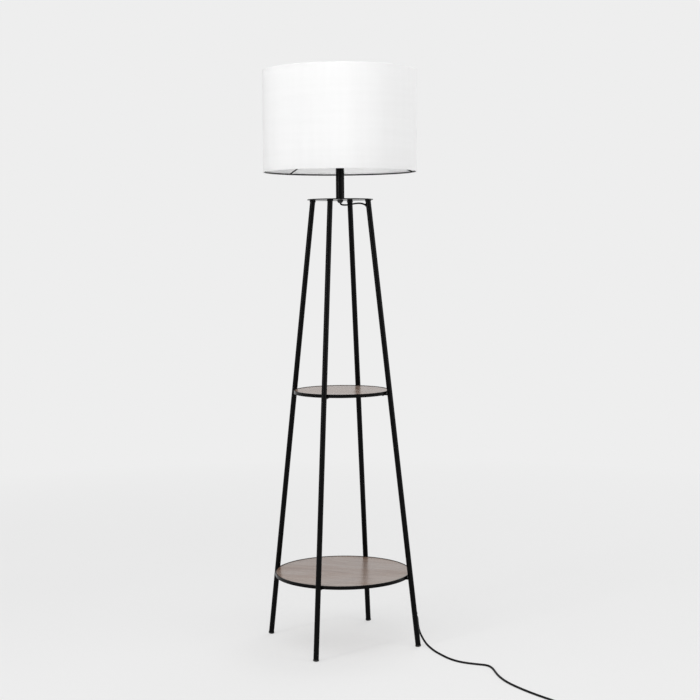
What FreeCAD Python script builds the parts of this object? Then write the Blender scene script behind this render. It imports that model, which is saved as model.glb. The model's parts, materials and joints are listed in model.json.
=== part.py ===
import FreeCAD, Part
import math
import os
from types import SimpleNamespace

import Sketcher
from FreeCAD import Placement, Rotation, Vector

# Shelf floor lamp: four splayed legs under a round plate, two round shelves in
# steel hoops, a short stem with a lampholder, and a drum shade on a wire frame.
# Millimetres, +Z up. The origin is on the floor, on the lamp's axis. The legs
# stand on the X and Y axes; the front leg is at -Y and the cord's leg at +X.

os.makedirs("parts", exist_ok=True)
doc = FreeCAD.newDocument("ShelfFloorLamp")

SIZES = {
    # whole lamp; the plate's height is to its underside
    "plate_height": 1167.5,
    "plate_margin": 9.5,
    "plate_thickness": 2.5,
    "plate_edge_chamfer": 0.5,
    "seat_gap": 0.3,
    "floor_cut": 0.5,
    # legs, measured at their axes
    "leg_diameter": 14.0,
    "leg_wall": 1.0,
    "leg_foot_radius": 208.0,
    "leg_top_radius": 76.5,
    "collar_lip": 1.0,
    "collar_height": 4.0,
    "collar_spigot": 5.0,
    "plug_clearance": 0.05,
    "foot_lip": 0.6,
    "foot_height": 5.2,
    "foot_dome_radius": 13.0,
    "foot_spigot": 12.0,
    # screws through the plate into the legs
    "plate_screw_diameter": 5.0,
    "plate_screw_head": 9.0,
    "plate_screw_length": 10.0,
    "screw_clearance": 0.1,
    # shelves
    "lower_shelf_height": 188.5,
    "upper_shelf_height": 671.0,
    "hoop_band": 2.0,
    "board_thickness": 6.0,
    "board_drop": 1.0,
    "board_clearance": 0.3,
    "board_rounding": 0.6,
    "tab_thickness": 2.0,
    "tab_width": 12.0,
    "tab_reach": 16.0,
    "weld_gap": 0.05,
    "shelf_screw_diameter": 4.0,
    "shelf_screw_head": 7.6,
    "shelf_screw_head_height": 2.2,
    "shelf_screw_bite": 4.5,
    "shelf_screw_inset": 9.0,
    # stem and its threaded nipple
    "stem_diameter": 22.0,
    "stem_wall": 1.2,
    "stem_length": 98.0,
    "stem_spigot": 6.0,
    "stem_cap_height": 3.0,
    "stem_cap_chamfer": 1.0,
    "nipple_diameter": 10.0,
    "nipple_wall": 1.3,
    "nipple_below_nut": 0.8,
    "nipple_reach": 10.0,
    "washer_diameter": 19.0,
    "washer_thickness": 1.0,
    "nut_across_flats": 14.0,
    "nut_height": 2.8,
    "gland_diameter": 13.6,
    "gland_tip_wall": 1.2,
    "gland_height": 3.6,
    "gland_clearance": 0.3,
    # lampholder
    "holder_diameter": 39.0,
    "holder_cap_height": 22.0,
    "holder_cap_foot": 29.0,
    "holder_wall": 2.0,
    "holder_neck_gap": 3.6,
    "holder_core_height": 5.0,
    "bulb_clearance": 0.35,
    "screw_shell_wall": 0.35,
    "screw_shell_height": 20.0,
    "contact_rise": 3.0,
    "contact_width": 4.0,
    # bulb
    "bulb_base_diameter": 26.2,
    "bulb_base_height": 26.5,
    "bulb_tip_height": 1.5,
    "bulb_cone_height": 3.5,
    "bulb_skirt_height": 3.0,
    "bulb_diameter": 60.0,
    "bulb_length": 107.0,
    "bulb_neck_diameter": 28.4,
    "bulb_shoulder_diameter": 52.0,
    "bulb_neck_curve": 94.0,
    "bulb_wall": 0.9,
    # shade
    "shade_diameter": 400.0,
    "shade_height": 260.0,
    "shade_wall": 1.0,
    "shade_wire": 3.5,
    "carrier_drop": 66.95,
    "arm_inset": 1.8,
    "arm_run": 9.0,
    "arm_first_angle": 33.3,
    "arm_count": 3.0,
    "fitter_margin": 2.2,
    "fitter_thickness": 2.0,
    "fitter_above_holder": 15.0,
    "clamp_ring_diameter": 54.0,
    "clamp_ring_height": 6.0,
    "clamp_ring_lip": 2.5,
    # cord and its ways in and out
    "cord_width": 5.6,
    "cord_thickness": 3.0,
    "grommet_clearance": 0.5,
    "grommet_wall": 0.6,
    "grommet_lip": 0.8,
    "grommet_proud": 1.2,
    "outlet_height": 86.0,
    "outlet_turn": 90.0,
    "outlet_slant": 45.0,
    "outlet_lip": 1.6,
    "cord_grip": 0.15,
    "tip_wall": 0.75,
    "outlet_nose": 4.6,
    "outlet_elbow": 12.0,
    # foot switch on the cord
    "switch_x": 561.9,
    "switch_y": -466.4,
    "switch_turn": 199.3,
    "switch_length": 84.0,
    "switch_width": 34.0,
    "switch_corner": 13.0,
    "switch_base_height": 7.0,
    "switch_cover_height": 14.0,
    "switch_wall": 2.0,
    "switch_top_rounding": 5.0,
    "switch_foot_rounding": 1.5,
    "switch_sleeve": 20.0,
    "sleeve_wall": 1.85,
    "sleeve_seat": 2.0,
    "button_diameter": 26.0,
    "button_above_cover": 4.0,
    "button_flange": 1.6,
    "button_flange_width": 1.5,
    "button_stem_diameter": 8.0,
    "button_clearance": 0.4,
    "button_dome": 1.2,
    "button_travel": 3.0,
    "block_length": 28.0,
    "block_width": 20.0,
    "switch_screw_diameter": 3.0,
    "switch_screw_head": 5.6,
    "switch_screw_spacing": 56.0,
    "switch_boss": 7.0,
    # coil of the cord that the picture does not show
    "coil_x": 454.4,
    "coil_y": -504.1,
    "coil_first_radius": 36.0,
    "coil_gap": 0.5,
    "coil_layer_half_turns": 5.0,
    # plug
    "plug_tip_x": 351.2,
    "plug_tip_y": -517.9,
    "plug_turn": 184.2,
    "plug_length": 36.0,
    "plug_width": 35.3,
    "plug_thickness": 13.7,
    "plug_tail_width": 14.0,
    "plug_shoulder": 15.0,
    "plug_rounding": 3.0,
    "plug_sleeve": 20.0,
    "pin_diameter": 4.0,
    "pin_length": 19.0,
    "pin_spacing": 19.0,
}

sheet = doc.addObject("Spreadsheet::Sheet", "Sizes")
for row, (alias, number) in enumerate(SIZES.items(), start=1):
    sheet.set(f"A{row}", alias.replace("_", " "))
    sheet.set(f"B{row}", str(number))
    sheet.setAlias(f"B{row}", alias)
doc.recompute()


class Size:
    """A number together with the sheet formula that gives it."""

    def __init__(self, value, formula=None):
        self.value = float(value)
        self.formula = formula or f"({self.value!r})"

    def __float__(self):
        return self.value

    def __add__(self, other):
        other = as_size(other)
        return Size(self.value + other.value, f"({self.formula} + {other.formula})")

    def __sub__(self, other):
        other = as_size(other)
        return Size(self.value - other.value, f"({self.formula} - {other.formula})")

    def __mul__(self, other):
        other = as_size(other)
        return Size(self.value * other.value, f"({self.formula} * {other.formula})")

    def __truediv__(self, other):
        other = as_size(other)
        return Size(self.value / other.value, f"({self.formula} / {other.formula})")

    def __neg__(self):
        return Size(-self.value, f"(-1 * {self.formula})")

    def __radd__(self, other):
        return as_size(other) + self

    def __rsub__(self, other):
        return as_size(other) - self

    def __rmul__(self, other):
        return as_size(other) * self


def as_size(number):
    return number if isinstance(number, Size) else Size(number)


def square_root(size):
    return Size(math.sqrt(size.value), f"sqrt({size.formula})")


def sine(size):
    return Size(math.sin(math.radians(size.value)), f"sin({size.formula})")


def cosine(size):
    return Size(math.cos(math.radians(size.value)), f"cos({size.formula})")


def arctangent(size):
    """The angle in plain degrees, so that it adds to other angles."""
    return Size(math.degrees(math.atan(size.value)), f"(atan({size.formula}) / 1 deg)")


s = SimpleNamespace(**{alias: Size(sheet.get(alias), f"Sizes.{alias}") for alias in SIZES})

ZERO = Size(0.0)
X_AXIS = Vector(1, 0, 0)
Y_AXIS = Vector(0, 1, 0)
Z_AXIS = Vector(0, 0, 1)


# ---- building blocks ----


def named(type_name, label):
    piece = doc.addObject(type_name, label)
    piece.Label = label
    return piece


def bind(piece, field, size):
    """Give a field its number and tie it to the sheet."""
    size = as_size(size)
    setattr(piece, field, size.value)
    piece.setExpression(field, size.formula)


def place(piece, x=ZERO, y=ZERO, z=ZERO, about=Z_AXIS, angle=ZERO):
    x, y, z, angle = (as_size(v) for v in (x, y, z, angle))
    spot = Vector(x.value, y.value, z.value)
    piece.Placement = Placement(spot, Rotation(about, angle.value))
    piece.setExpression("Placement.Base.x", x.formula)
    piece.setExpression("Placement.Base.y", y.formula)
    piece.setExpression("Placement.Base.z", z.formula)
    if angle is not ZERO:
        piece.setExpression("Placement.Rotation.Angle", angle.formula)
    return piece


def origin_plane(body, role):
    return next(plane for plane in body.Origin.OriginFeatures if plane.Role == role)


def sketch_on(body, role, label):
    sketch = body.newObject("Sketcher::SketchObject", label)
    sketch.AttachmentSupport = (origin_plane(body, role), [""])
    sketch.MapMode = "FlatFace"
    return sketch


def pin_point(sketch, element, end, x, y):
    """Hold a sketch point at its distances from the origin."""
    for kind, size in (("DistanceX", x), ("DistanceY", y)):
        at = sketch.addConstraint(Sketcher.Constraint(kind, -1, 1, element, end, size.value))
        sketch.setExpression(f"Constraints[{at}]", size.formula)


def arc_between(start, end, radius):
    """An arc, at most half a circle. It turns left if radius > 0, and right if not."""
    chord = end - start
    rise = math.sqrt(radius * radius - chord.dot(chord) / 4)
    left = Vector(-chord.y, chord.x, 0).normalize()
    centre = (start + end) / 2 + left * math.copysign(rise, radius)
    first, last = (start - centre, end - centre) if radius > 0 else (end - centre, start - centre)
    circle = Part.Circle(centre, Z_AXIS, abs(radius))
    return Part.ArcOfCircle(circle, math.atan2(first.y, first.x), math.atan2(last.y, last.x))


def hold_size(sketch, kind, element, size):
    at = sketch.addConstraint(Sketcher.Constraint(kind, element, size.value))
    sketch.setExpression(f"Constraints[{at}]", size.formula)


def edge_between(sketch, start, end, radius=None):
    """A line, or with a radius an arc, between two (x, y) points; its ends are held."""
    a, b = (Vector(x.value, y.value, 0) for x, y in (start, end))
    if radius is None:
        element = sketch.addGeometry(Part.LineSegment(a, b), False)
    else:
        element = sketch.addGeometry(arc_between(a, b, radius.value), False)
        hold_size(sketch, "Radius", element, Size(abs(radius.value), f"abs({radius.formula})"))
    turned_about = radius is not None and radius.value < 0
    pin_point(sketch, element, 2 if turned_about else 1, *start)
    pin_point(sketch, element, 1 if turned_about else 2, *end)


def path(sketch, corners, closed=True):
    """Edges from corner to corner. A corner is (x, y), or (x, y, radius) after an arc."""
    corners = [tuple(as_size(v) for v in corner) for corner in corners]
    pairs = zip(corners, corners[1:] + corners[:1] if closed else corners[1:])
    for start, end in pairs:
        edge_between(sketch, start[:2], end[:2], *end[2:])


def circle_at(sketch, x, y, radius):
    circle = Part.Circle(Vector(x.value, y.value, 0), Z_AXIS, radius.value)
    element = sketch.addGeometry(circle, False)
    pin_point(sketch, element, 3, x, y)
    hold_size(sketch, "Radius", element, radius)


def rings(sketch, *diameters):
    """Circles about the sketch's origin."""
    for diameter in diameters:
        circle_at(sketch, ZERO, ZERO, diameter / 2)


def turned(label, corners):
    """A body of revolution about its own Z from (radius, height) corners."""
    body = named("PartDesign::Body", label)
    sketch = sketch_on(body, "XZ_Plane", label + "_profile")
    path(sketch, corners)
    spin = body.newObject("PartDesign::Revolution", label + "_revolution")
    spin.Profile = sketch
    spin.ReferenceAxis = (sketch, ["V_Axis"])
    spin.Angle = 360.0
    sketch.Visibility = False
    return body


def padded(body, sketch, label, length, reverse=False):
    pad = body.newObject("PartDesign::Pad", label)
    pad.Profile = sketch
    pad.Reversed = reverse
    bind(pad, "Length", length)
    return pad


def pocketed(body, sketch, label, depth, reverse=False, both=False):
    """A pocket, checked to take material away."""
    doc.recompute()
    before = body.Shape.Volume
    pocket = body.newObject("PartDesign::Pocket", label)
    pocket.Profile = sketch
    pocket.Reversed = reverse
    pocket.Midplane = both
    bind(pocket, "Length", depth)
    doc.recompute()
    if body.Shape.Volume >= before:
        raise RuntimeError(f"{label} cuts nothing")
    return pocket


def patterned(body, features, label, count):
    """Copies of features about the body's Z axis."""
    pattern = body.newObject("PartDesign::PolarPattern", label)
    pattern.Originals = features
    axis = next(a for a in body.Origin.OriginFeatures if a.Role == "Z_Axis")
    pattern.Axis = (axis, [""])
    pattern.Angle = 360.0
    pattern.Occurrences = int(round(float(count)))
    body.Tip = pattern
    return pattern


def filleted(body, feature, label, radius, chosen):
    """Round the edges of a feature that the test chooses."""
    doc.recompute()
    edges = [f"Edge{i}" for i, edge in enumerate(feature.Shape.Edges, 1) if chosen(edge)]
    fillet = body.newObject("PartDesign::Fillet", label)
    fillet.Base = (feature, edges)
    bind(fillet, "Radius", radius)
    return fillet


def box(label, low, high):
    low, high = ([as_size(v) for v in corner] for corner in (low, high))
    piece = named("Part::Box", label)
    for field, a, b in zip(("Length", "Width", "Height"), low, high):
        bind(piece, field, b - a)
    return place(piece, *low)


def rod(label, radius, height):
    piece = named("Part::Cylinder", label)
    bind(piece, "Radius", radius)
    bind(piece, "Height", height)
    return piece


def cut(label, base, *tools):
    piece = named("Part::Cut", label)
    piece.Base = base
    piece.Tool = tools[0] if len(tools) == 1 else fused(label + "_tools", *tools)
    return piece


def fused(label, *pieces):
    piece = named("Part::MultiFuse", label)
    piece.Shapes = list(pieces)
    return piece


def group(label, pieces):
    """Several like pieces in one node, each a solid of its own."""
    piece = named("Part::Compound", label)
    piece.Links = list(pieces)
    return piece


def shape_only(label, shape):
    piece = named("Part::Feature", label)
    piece.Shape = shape
    return piece


nodes = {}


def node(piece):
    nodes[piece.Label] = piece
    return piece


# ---- places worked out from the sizes ----

leg_tilt = arctangent((s.leg_foot_radius - s.leg_top_radius) / s.plate_height)
leg_radius = s.leg_diameter / 2
plate_top = s.plate_height + s.plate_thickness
stem_top = plate_top + s.stem_length
holder_foot = stem_top + s.stem_cap_height
holder_split = holder_foot + s.holder_cap_height
floor_line = s.cord_width / 2
grommet_bore = s.cord_width + s.grommet_clearance * 2
grommet_hole = grommet_bore + s.grommet_wall * 2
outlet_bore = s.cord_width + s.cord_grip * 2
tip_diameter = outlet_bore + s.tip_wall * 2
sleeve_diameter = outlet_bore + s.sleeve_wall * 2
QUARTERS = {"front": 270.0, "right": 0.0, "rear": 90.0, "left": 180.0}


def leg_axis_radius(height):
    """How far the leg's axis is from the lamp's axis at a height."""
    return s.leg_foot_radius - (s.leg_foot_radius - s.leg_top_radius) * height / s.plate_height


def along_leg(height):
    """The distance along the leg's axis, from the floor, of a height on it."""
    return height / cosine(leg_tilt)


leg_top = along_leg(s.plate_height)
tube_top = leg_top - s.collar_height
loop_along = tube_top - s.collar_spigot - s.seat_gap - grommet_hole / 2


def on_leg(piece, outward=ZERO, along=ZERO):
    """Stand a piece on the axis of the leg at +X, before it is turned to its quarter."""
    x = s.leg_foot_radius + outward * cosine(leg_tilt) - along * sine(leg_tilt)
    z = outward * sine(leg_tilt) + along * cosine(leg_tilt)
    return place(piece, x=x, z=z, about=Y_AXIS, angle=-leg_tilt)


# ---- legs ----


def shelf_values(shelf_height):
    """Radii and heights that a shelf's hoop, board, lugs and screws share."""
    hoop_radius = leg_axis_radius(shelf_height) - leg_radius / cosine(leg_tilt) - s.seat_gap
    hoop_foot = shelf_height - s.board_drop - s.board_thickness - s.tab_thickness
    return SimpleNamespace(
        hoop_radius=hoop_radius,
        foot=hoop_foot,
        hoop_height=shelf_height - hoop_foot,
        board_foot=hoop_foot + s.tab_thickness,
        board_radius=hoop_radius - s.hoop_band - s.board_clearance,
        tab_end=hoop_radius - s.hoop_band - s.tab_reach,
        screw_radius=hoop_radius - s.hoop_band - s.shelf_screw_inset,
        lug_foot=hoop_foot - s.tab_thickness,
    )


shelves = {
    "lower": shelf_values(s.lower_shelf_height),
    "upper": shelf_values(s.upper_shelf_height),
}
screw_hole = s.shelf_screw_diameter / 2 + s.screw_clearance * 2


def leg_lug(label, shelf):
    """A flat lug, coped to the leg that it is welded to, that a shelf's hoop stands on."""
    half = s.tab_width / 2
    low = (shelf.tab_end, -half, shelf.lug_foot)
    high = (leg_axis_radius(shelf.lug_foot), half, shelf.foot)
    plate = box(label + "_plate", low, high)
    hole = rod(label + "_hole", screw_hole, s.tab_thickness * 3)
    place(hole, x=shelf.screw_radius, z=shelf.lug_foot - s.tab_thickness)
    cope = rod(label + "_cope", leg_radius + s.weld_gap, leg_top)
    on_leg(cope)
    return cut(label, plate, hole, cope)


def facing_stem(piece):
    """Set a piece, made about its own Z, square to the leg and towards the lamp's axis."""
    x = s.leg_foot_radius - loop_along * sine(leg_tilt)
    z = loop_along * cosine(leg_tilt)
    return place(piece, x=x, z=z, about=Y_AXIS, angle=-(leg_tilt + 90.0))


outlet_start = along_leg(s.outlet_height) + leg_radius / (sine(s.outlet_slant) / cosine(s.outlet_slant))


def outlet_axis(along_nose=ZERO):
    """The slanting axis of the cord outlet, as a placement so far along it from the leg's axis."""
    lean = Rotation(Y_AXIS, -leg_tilt.value)
    turn = Rotation(Z_AXIS, s.outlet_turn.value)
    slant = Rotation(Y_AXIS, 180.0 - s.outlet_slant.value)
    facing = lean * turn * slant
    foot = Vector(s.leg_foot_radius.value, 0, 0)
    elbow = foot + lean.multVec(Vector(0, 0, outlet_start.value))
    spot = elbow + facing.multVec(Vector(0, 0, as_size(along_nose).value))
    return Placement(spot, facing)


def outlet_turned(piece):
    """Set a piece, made about its own Z, on the axis of the cord outlet."""
    piece.Placement = outlet_axis()
    return piece


def leg(side, holes):
    label = "leg_" + side
    tube = turned(
        label + "_tube",
        [
            (leg_radius - s.leg_wall, s.foot_height),
            (leg_radius, s.foot_height),
            (leg_radius, tube_top),
            (leg_radius - s.leg_wall, tube_top),
        ],
    )
    on_leg(tube)
    if holes:
        into = facing_stem(rod(label + "_loop_hole", grommet_hole / 2, s.leg_diameter))
        out = rod(label + "_outlet_hole", grommet_hole / 2, s.leg_diameter * 2)
        whole = cut(label, tube, into, outlet_turned(out))
    else:
        whole = group(label, [tube])
    return node(place(whole, angle=QUARTERS[side]))


def leg_lugs(name, shelf):
    pieces = []
    for side, quarter in QUARTERS.items():
        pieces.append(place(leg_lug(f"{name}_lug_{side}", shelf), angle=quarter))
    return node(group(name + "_lugs", pieces))


def foot(side):
    """A moulded cap pressed into the leg, its dome cut flat where it stands."""
    label = "foot_" + side
    radius = leg_radius + s.foot_lip
    spigot = leg_radius - s.leg_wall - s.plug_clearance
    dome = s.foot_dome_radius
    lowest = (dome - s.floor_cut) / cosine(leg_tilt) - dome
    edge = lowest + dome - square_root(dome * dome - radius * radius)
    cap = turned(
        label + "_cap",
        [
            (ZERO, s.foot_height + s.foot_spigot),
            (ZERO, lowest),
            (radius, edge, dome),
            (radius, s.foot_height),
            (spigot, s.foot_height),
            (spigot, s.foot_height + s.foot_spigot),
        ],
    )
    on_leg(cap)
    reach = radius * 2
    low = (s.leg_foot_radius - reach, -reach, -reach)
    floor = box(label + "_floor", low, (s.leg_foot_radius + reach, reach, ZERO))
    return node(place(cut(label, cap, floor), angle=QUARTERS[side]))


def leg_insert(side):
    """A turned plug in the leg's top, its collar trimmed level to carry the plate."""
    label = "leg_insert_" + side
    spigot = leg_radius - s.leg_wall - s.plug_clearance
    collar = leg_radius + s.collar_lip
    above = s.collar_height * 2
    plug = turned(
        label + "_plug",
        [
            (ZERO, tube_top - s.collar_spigot),
            (spigot, tube_top - s.collar_spigot),
            (spigot, tube_top),
            (collar, tube_top),
            (collar, tube_top + above),
            (ZERO, tube_top + above),
        ],
    )
    on_leg(plug)
    reach = collar * 2
    low = (s.leg_top_radius - reach, -reach, s.plate_height)
    high = (s.leg_top_radius + reach, reach, s.plate_height + above * 2)
    level = box(label + "_level", low, high)
    hole = rod(label + "_thread", s.plate_screw_diameter / 2 + s.screw_clearance, above * 3)
    place(hole, x=s.leg_top_radius, z=s.plate_height - s.collar_height * 4)
    return place(cut(label, plug, level, hole), angle=QUARTERS[side])


for side in QUARTERS:
    leg(side, holes=side == "right")
    foot(side)
for name, shelf in shelves.items():
    leg_lugs(name, shelf)
node(group("leg_inserts", [leg_insert(side) for side in QUARTERS]))


# ---- top plate and its screws ----


def countersink(label, clearance):
    """A countersunk screw from its head down, or with clearance the hole for it."""
    shank = s.plate_screw_diameter / 2 + clearance
    head = s.plate_screw_head / 2 + clearance
    foot_at = -s.plate_screw_length if clearance is ZERO else -s.plate_thickness * 2
    corners = [(ZERO, foot_at), (shank, foot_at), (shank, shank - head), (head, ZERO)]
    if clearance is not ZERO:
        corners += [(head, s.plate_thickness)]
    corners += [(ZERO, corners[-1][1])]
    return turned(label, corners)


def on_screw_circle(piece, side):
    angle = math.radians(QUARTERS[side])
    x = s.leg_top_radius * round(math.cos(angle))
    y = s.leg_top_radius * round(math.sin(angle))
    return place(piece, x=x, y=y, z=plate_top)


nipple_hole = s.nipple_diameter / 2 + s.screw_clearance
chamfer = s.plate_edge_chamfer
plate_radius = s.leg_top_radius + s.plate_margin
plate_disc = turned(
    "top_plate_disc",
    [
        (nipple_hole, s.plate_height),
        (plate_radius - chamfer, s.plate_height),
        (plate_radius, s.plate_height + chamfer),
        (plate_radius, plate_top - chamfer),
        (plate_radius - chamfer, plate_top),
        (nipple_hole, plate_top),
    ],
)
sinks = [on_screw_circle(countersink(f"sink_{side}", s.screw_clearance), side) for side in QUARTERS]
node(cut("top_plate", plate_disc, *sinks))
screws = [on_screw_circle(countersink(f"plate_screw_{side}", ZERO), side) for side in QUARTERS]
node(group("plate_screws", screws))


# ---- shelves ----


def hoop(label, shelf):
    """A rolled flat band with four tabs welded inside its foot."""
    body = named("PartDesign::Body", label)
    sketch = sketch_on(body, "XY_Plane", label + "_band_profile")
    rings(sketch, shelf.hoop_radius * 2, (shelf.hoop_radius - s.hoop_band) * 2)
    padded(body, sketch, label + "_band", shelf.hoop_height)
    tab = sketch_on(body, "XY_Plane", label + "_tab_profile")
    half = s.tab_width / 2
    root = shelf.hoop_radius - s.hoop_band / 2
    path(tab, [(shelf.tab_end, -half), (root, -half), (root, half), (shelf.tab_end, half)])
    tab_pad = padded(body, tab, label + "_tab", s.tab_thickness)
    doc.recompute()
    patterned(body, [tab_pad], label + "_tabs", len(QUARTERS))
    drill(body, label, shelf.screw_radius, screw_hole, s.tab_thickness)
    return node(place(body, z=shelf.foot))


def drill(body, label, circle_radius, hole_radius, depth):
    """Four holes on the body's foot, one at each leg."""
    sketch = sketch_on(body, "XY_Plane", label + "_hole_profile")
    circle_at(sketch, circle_radius, ZERO, hole_radius)
    pocket = pocketed(body, sketch, label + "_hole", depth, reverse=True)
    patterned(body, [pocket], label + "_holes", len(QUARTERS))


def board(label, shelf):
    """A round board with a blind screw hole over each tab."""
    body = named("PartDesign::Body", label)
    sketch = sketch_on(body, "XY_Plane", label + "_profile")
    rings(sketch, shelf.board_radius * 2)
    disc = padded(body, sketch, label + "_disc", s.board_thickness)
    middle = s.board_thickness.value / 2
    filleted(body, disc, label + "_edge", s.board_rounding, lambda edge: edge.BoundBox.ZMin > middle)
    drill(body, label, shelf.screw_radius, screw_hole, s.shelf_screw_bite + s.seat_gap)
    return node(place(body, z=shelf.board_foot))


def shelf_screw(label, shelf, side):
    """A pan-head screw from below, through lug and tab into the board."""
    shank = s.shelf_screw_diameter / 2
    head = s.shelf_screw_head / 2
    length = s.tab_thickness * 2 + s.shelf_screw_bite
    crown = s.shelf_screw_head_height
    screw = turned(
        label,
        [
            (ZERO, length),
            (ZERO, -crown),
            (head * 0.6, -crown),
            (head, -crown * 0.4),
            (head, ZERO),
            (shank, ZERO),
            (shank, length),
        ],
    )
    angle = math.radians(QUARTERS[side])
    x = shelf.screw_radius * round(math.cos(angle))
    y = shelf.screw_radius * round(math.sin(angle))
    return place(screw, x=x, y=y, z=shelf.lug_foot)


for name, shelf in shelves.items():
    hoop(name + "_hoop", shelf)
    board(name + "_board", shelf)
    pieces = [shelf_screw(f"{name}_screw_{side}", shelf, side) for side in QUARTERS]
    node(group(name + "_shelf_screws", pieces))


# ---- stem, nipple and cord gland ----

stem_radius = s.stem_diameter / 2
stem_bore = stem_radius - s.stem_wall
stem_spigot_radius = stem_bore - s.plug_clearance

node(
    turned(
        "stem_tube",
        [(stem_bore, plate_top), (stem_radius, plate_top), (stem_radius, stem_top), (stem_bore, stem_top)],
    )
)
node(
    turned(
        "stem_base_bush",
        [
            (nipple_hole, plate_top),
            (stem_spigot_radius, plate_top),
            (stem_spigot_radius, plate_top + s.stem_spigot),
            (nipple_hole, plate_top + s.stem_spigot),
        ],
    )
)
node(
    turned(
        "stem_cap",
        [
            (nipple_hole, stem_top - s.stem_spigot),
            (stem_spigot_radius, stem_top - s.stem_spigot),
            (stem_spigot_radius, stem_top),
            (stem_radius, stem_top),
            (stem_radius, holder_foot - s.stem_cap_chamfer),
            (stem_radius - s.stem_cap_chamfer, holder_foot),
            (nipple_hole, holder_foot),
        ],
    )
)

washer_foot = s.plate_height - s.washer_thickness
nut_foot = washer_foot - s.nut_height
nipple_foot = nut_foot - s.nipple_below_nut
gland_foot = nut_foot - s.gland_height
nipple_radius = s.nipple_diameter / 2
nipple_bore = nipple_radius - s.nipple_wall
gland_bore = s.cord_width / 2 + s.gland_clearance
gland_seat = nipple_foot - s.seat_gap
node(
    turned(
        "threaded_nipple",
        [
            (nipple_bore, nipple_foot),
            (nipple_radius, nipple_foot),
            (nipple_radius, holder_foot + s.nipple_reach),
            (nipple_bore, holder_foot + s.nipple_reach),
        ],
    )
)
node(
    turned(
        "nipple_washer",
        [
            (nipple_hole, washer_foot),
            (s.washer_diameter / 2, washer_foot),
            (s.washer_diameter / 2, s.plate_height),
            (nipple_hole, s.plate_height),
        ],
    )
)
nut_blank = named("Part::Prism", "nipple_nut_blank")
nut_blank.Polygon = 6
bind(nut_blank, "Circumradius", s.nut_across_flats / 2 / cosine(Size(30.0)))
bind(nut_blank, "Height", s.nut_height)
place(nut_blank, z=nut_foot)
nut_hole = rod("nipple_nut_hole", nipple_hole, s.nut_height * 3)
place(nut_hole, z=nut_foot - s.nut_height)
node(cut("nipple_nut", nut_blank, nut_hole))
node(
    turned(
        "cord_gland",
        [
            (gland_bore, gland_foot),
            (gland_bore + s.gland_tip_wall, gland_foot),
            (s.gland_diameter / 2, nut_foot - s.gland_height / 3),
            (s.gland_diameter / 2, nut_foot),
            (nipple_hole, nut_foot),
            (nipple_hole, gland_seat),
            (gland_bore, gland_seat),
        ],
    )
)


# ---- lampholder and bulb ----

holder_radius = s.holder_diameter / 2
cap_foot_radius = s.holder_cap_foot / 2
holder_bore = holder_radius - s.holder_wall
joint_depth = s.holder_cap_height / 4
joint_radius = holder_bore - s.screw_clearance
node(
    turned(
        "holder_cap",
        [
            (nipple_hole, holder_foot),
            (cap_foot_radius, holder_foot),
            (holder_radius, holder_foot + s.holder_cap_height / 2),
            (holder_radius, holder_split),
            (holder_bore, holder_split),
            (holder_bore, holder_foot + s.holder_cap_height / 2),
            (cap_foot_radius - s.holder_wall, holder_foot + s.nipple_reach / 2),
            (nipple_hole, holder_foot + s.nipple_reach / 2),
        ],
    )
)
core_foot = holder_split + s.holder_wall * 2
core_top = core_foot + s.holder_core_height
shell_bore = s.bulb_base_diameter / 2 + s.bulb_clearance
shell_radius = shell_bore + s.screw_shell_wall
sleeve_bore = shell_radius + s.seat_gap
ledge_radius = shell_radius - s.holder_wall
contact_rise = s.contact_rise
contact_strip = s.screw_shell_wall * 2
core_well = contact_rise + contact_strip
contact_foot = core_top - core_well / 2
bulb_foot = contact_foot + contact_rise + contact_strip + s.seat_gap
bulb_split = bulb_foot + s.bulb_base_height
holder_top = bulb_split - s.holder_neck_gap
node(
    turned(
        "holder_body",
        [
            (joint_radius - s.holder_wall, holder_split - joint_depth),
            (joint_radius, holder_split - joint_depth),
            (joint_radius, holder_split),
            (holder_radius, holder_split),
            (holder_radius, holder_top),
            (sleeve_bore, holder_top),
            (sleeve_bore, core_foot),
            (ledge_radius, core_foot),
            (ledge_radius, holder_split),
            (joint_radius - s.holder_wall, holder_split),
        ],
    )
)
node(
    turned(
        "holder_core",
        [
            (ZERO, core_foot),
            (shell_radius, core_foot),
            (shell_radius, core_top),
            (ledge_radius - core_well / 2, core_top),
            (ledge_radius - core_well / 2, contact_foot),
            (ZERO, contact_foot),
        ],
    )
)
node(
    turned(
        "screw_shell",
        [
            (shell_bore, core_top),
            (shell_radius, core_top),
            (shell_radius, core_top + s.screw_shell_height),
            (shell_bore, core_top + s.screw_shell_height),
        ],
    )
)


def centre_contact():
    """A bent strip: a foot on the core and a tongue up to the bulb's tip."""
    body = named("PartDesign::Body", "centre_contact")
    sketch = sketch_on(body, "XZ_Plane", "centre_contact_profile")
    left = -shell_radius / 2
    bend = -shell_radius / 4
    right = shell_radius / 4
    path(
        sketch,
        [
            (left, ZERO),
            (bend, ZERO),
            (-bend / 4 + bend, contact_rise),
            (right, contact_rise),
            (right, contact_rise + contact_strip),
            (-bend / 4 + bend - contact_strip, contact_rise + contact_strip),
            (bend - contact_strip, contact_strip),
            (left, contact_strip),
        ],
    )
    pad = padded(body, sketch, "centre_contact_strip", s.contact_width)
    pad.Midplane = True
    return node(place(body, z=contact_foot))


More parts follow.
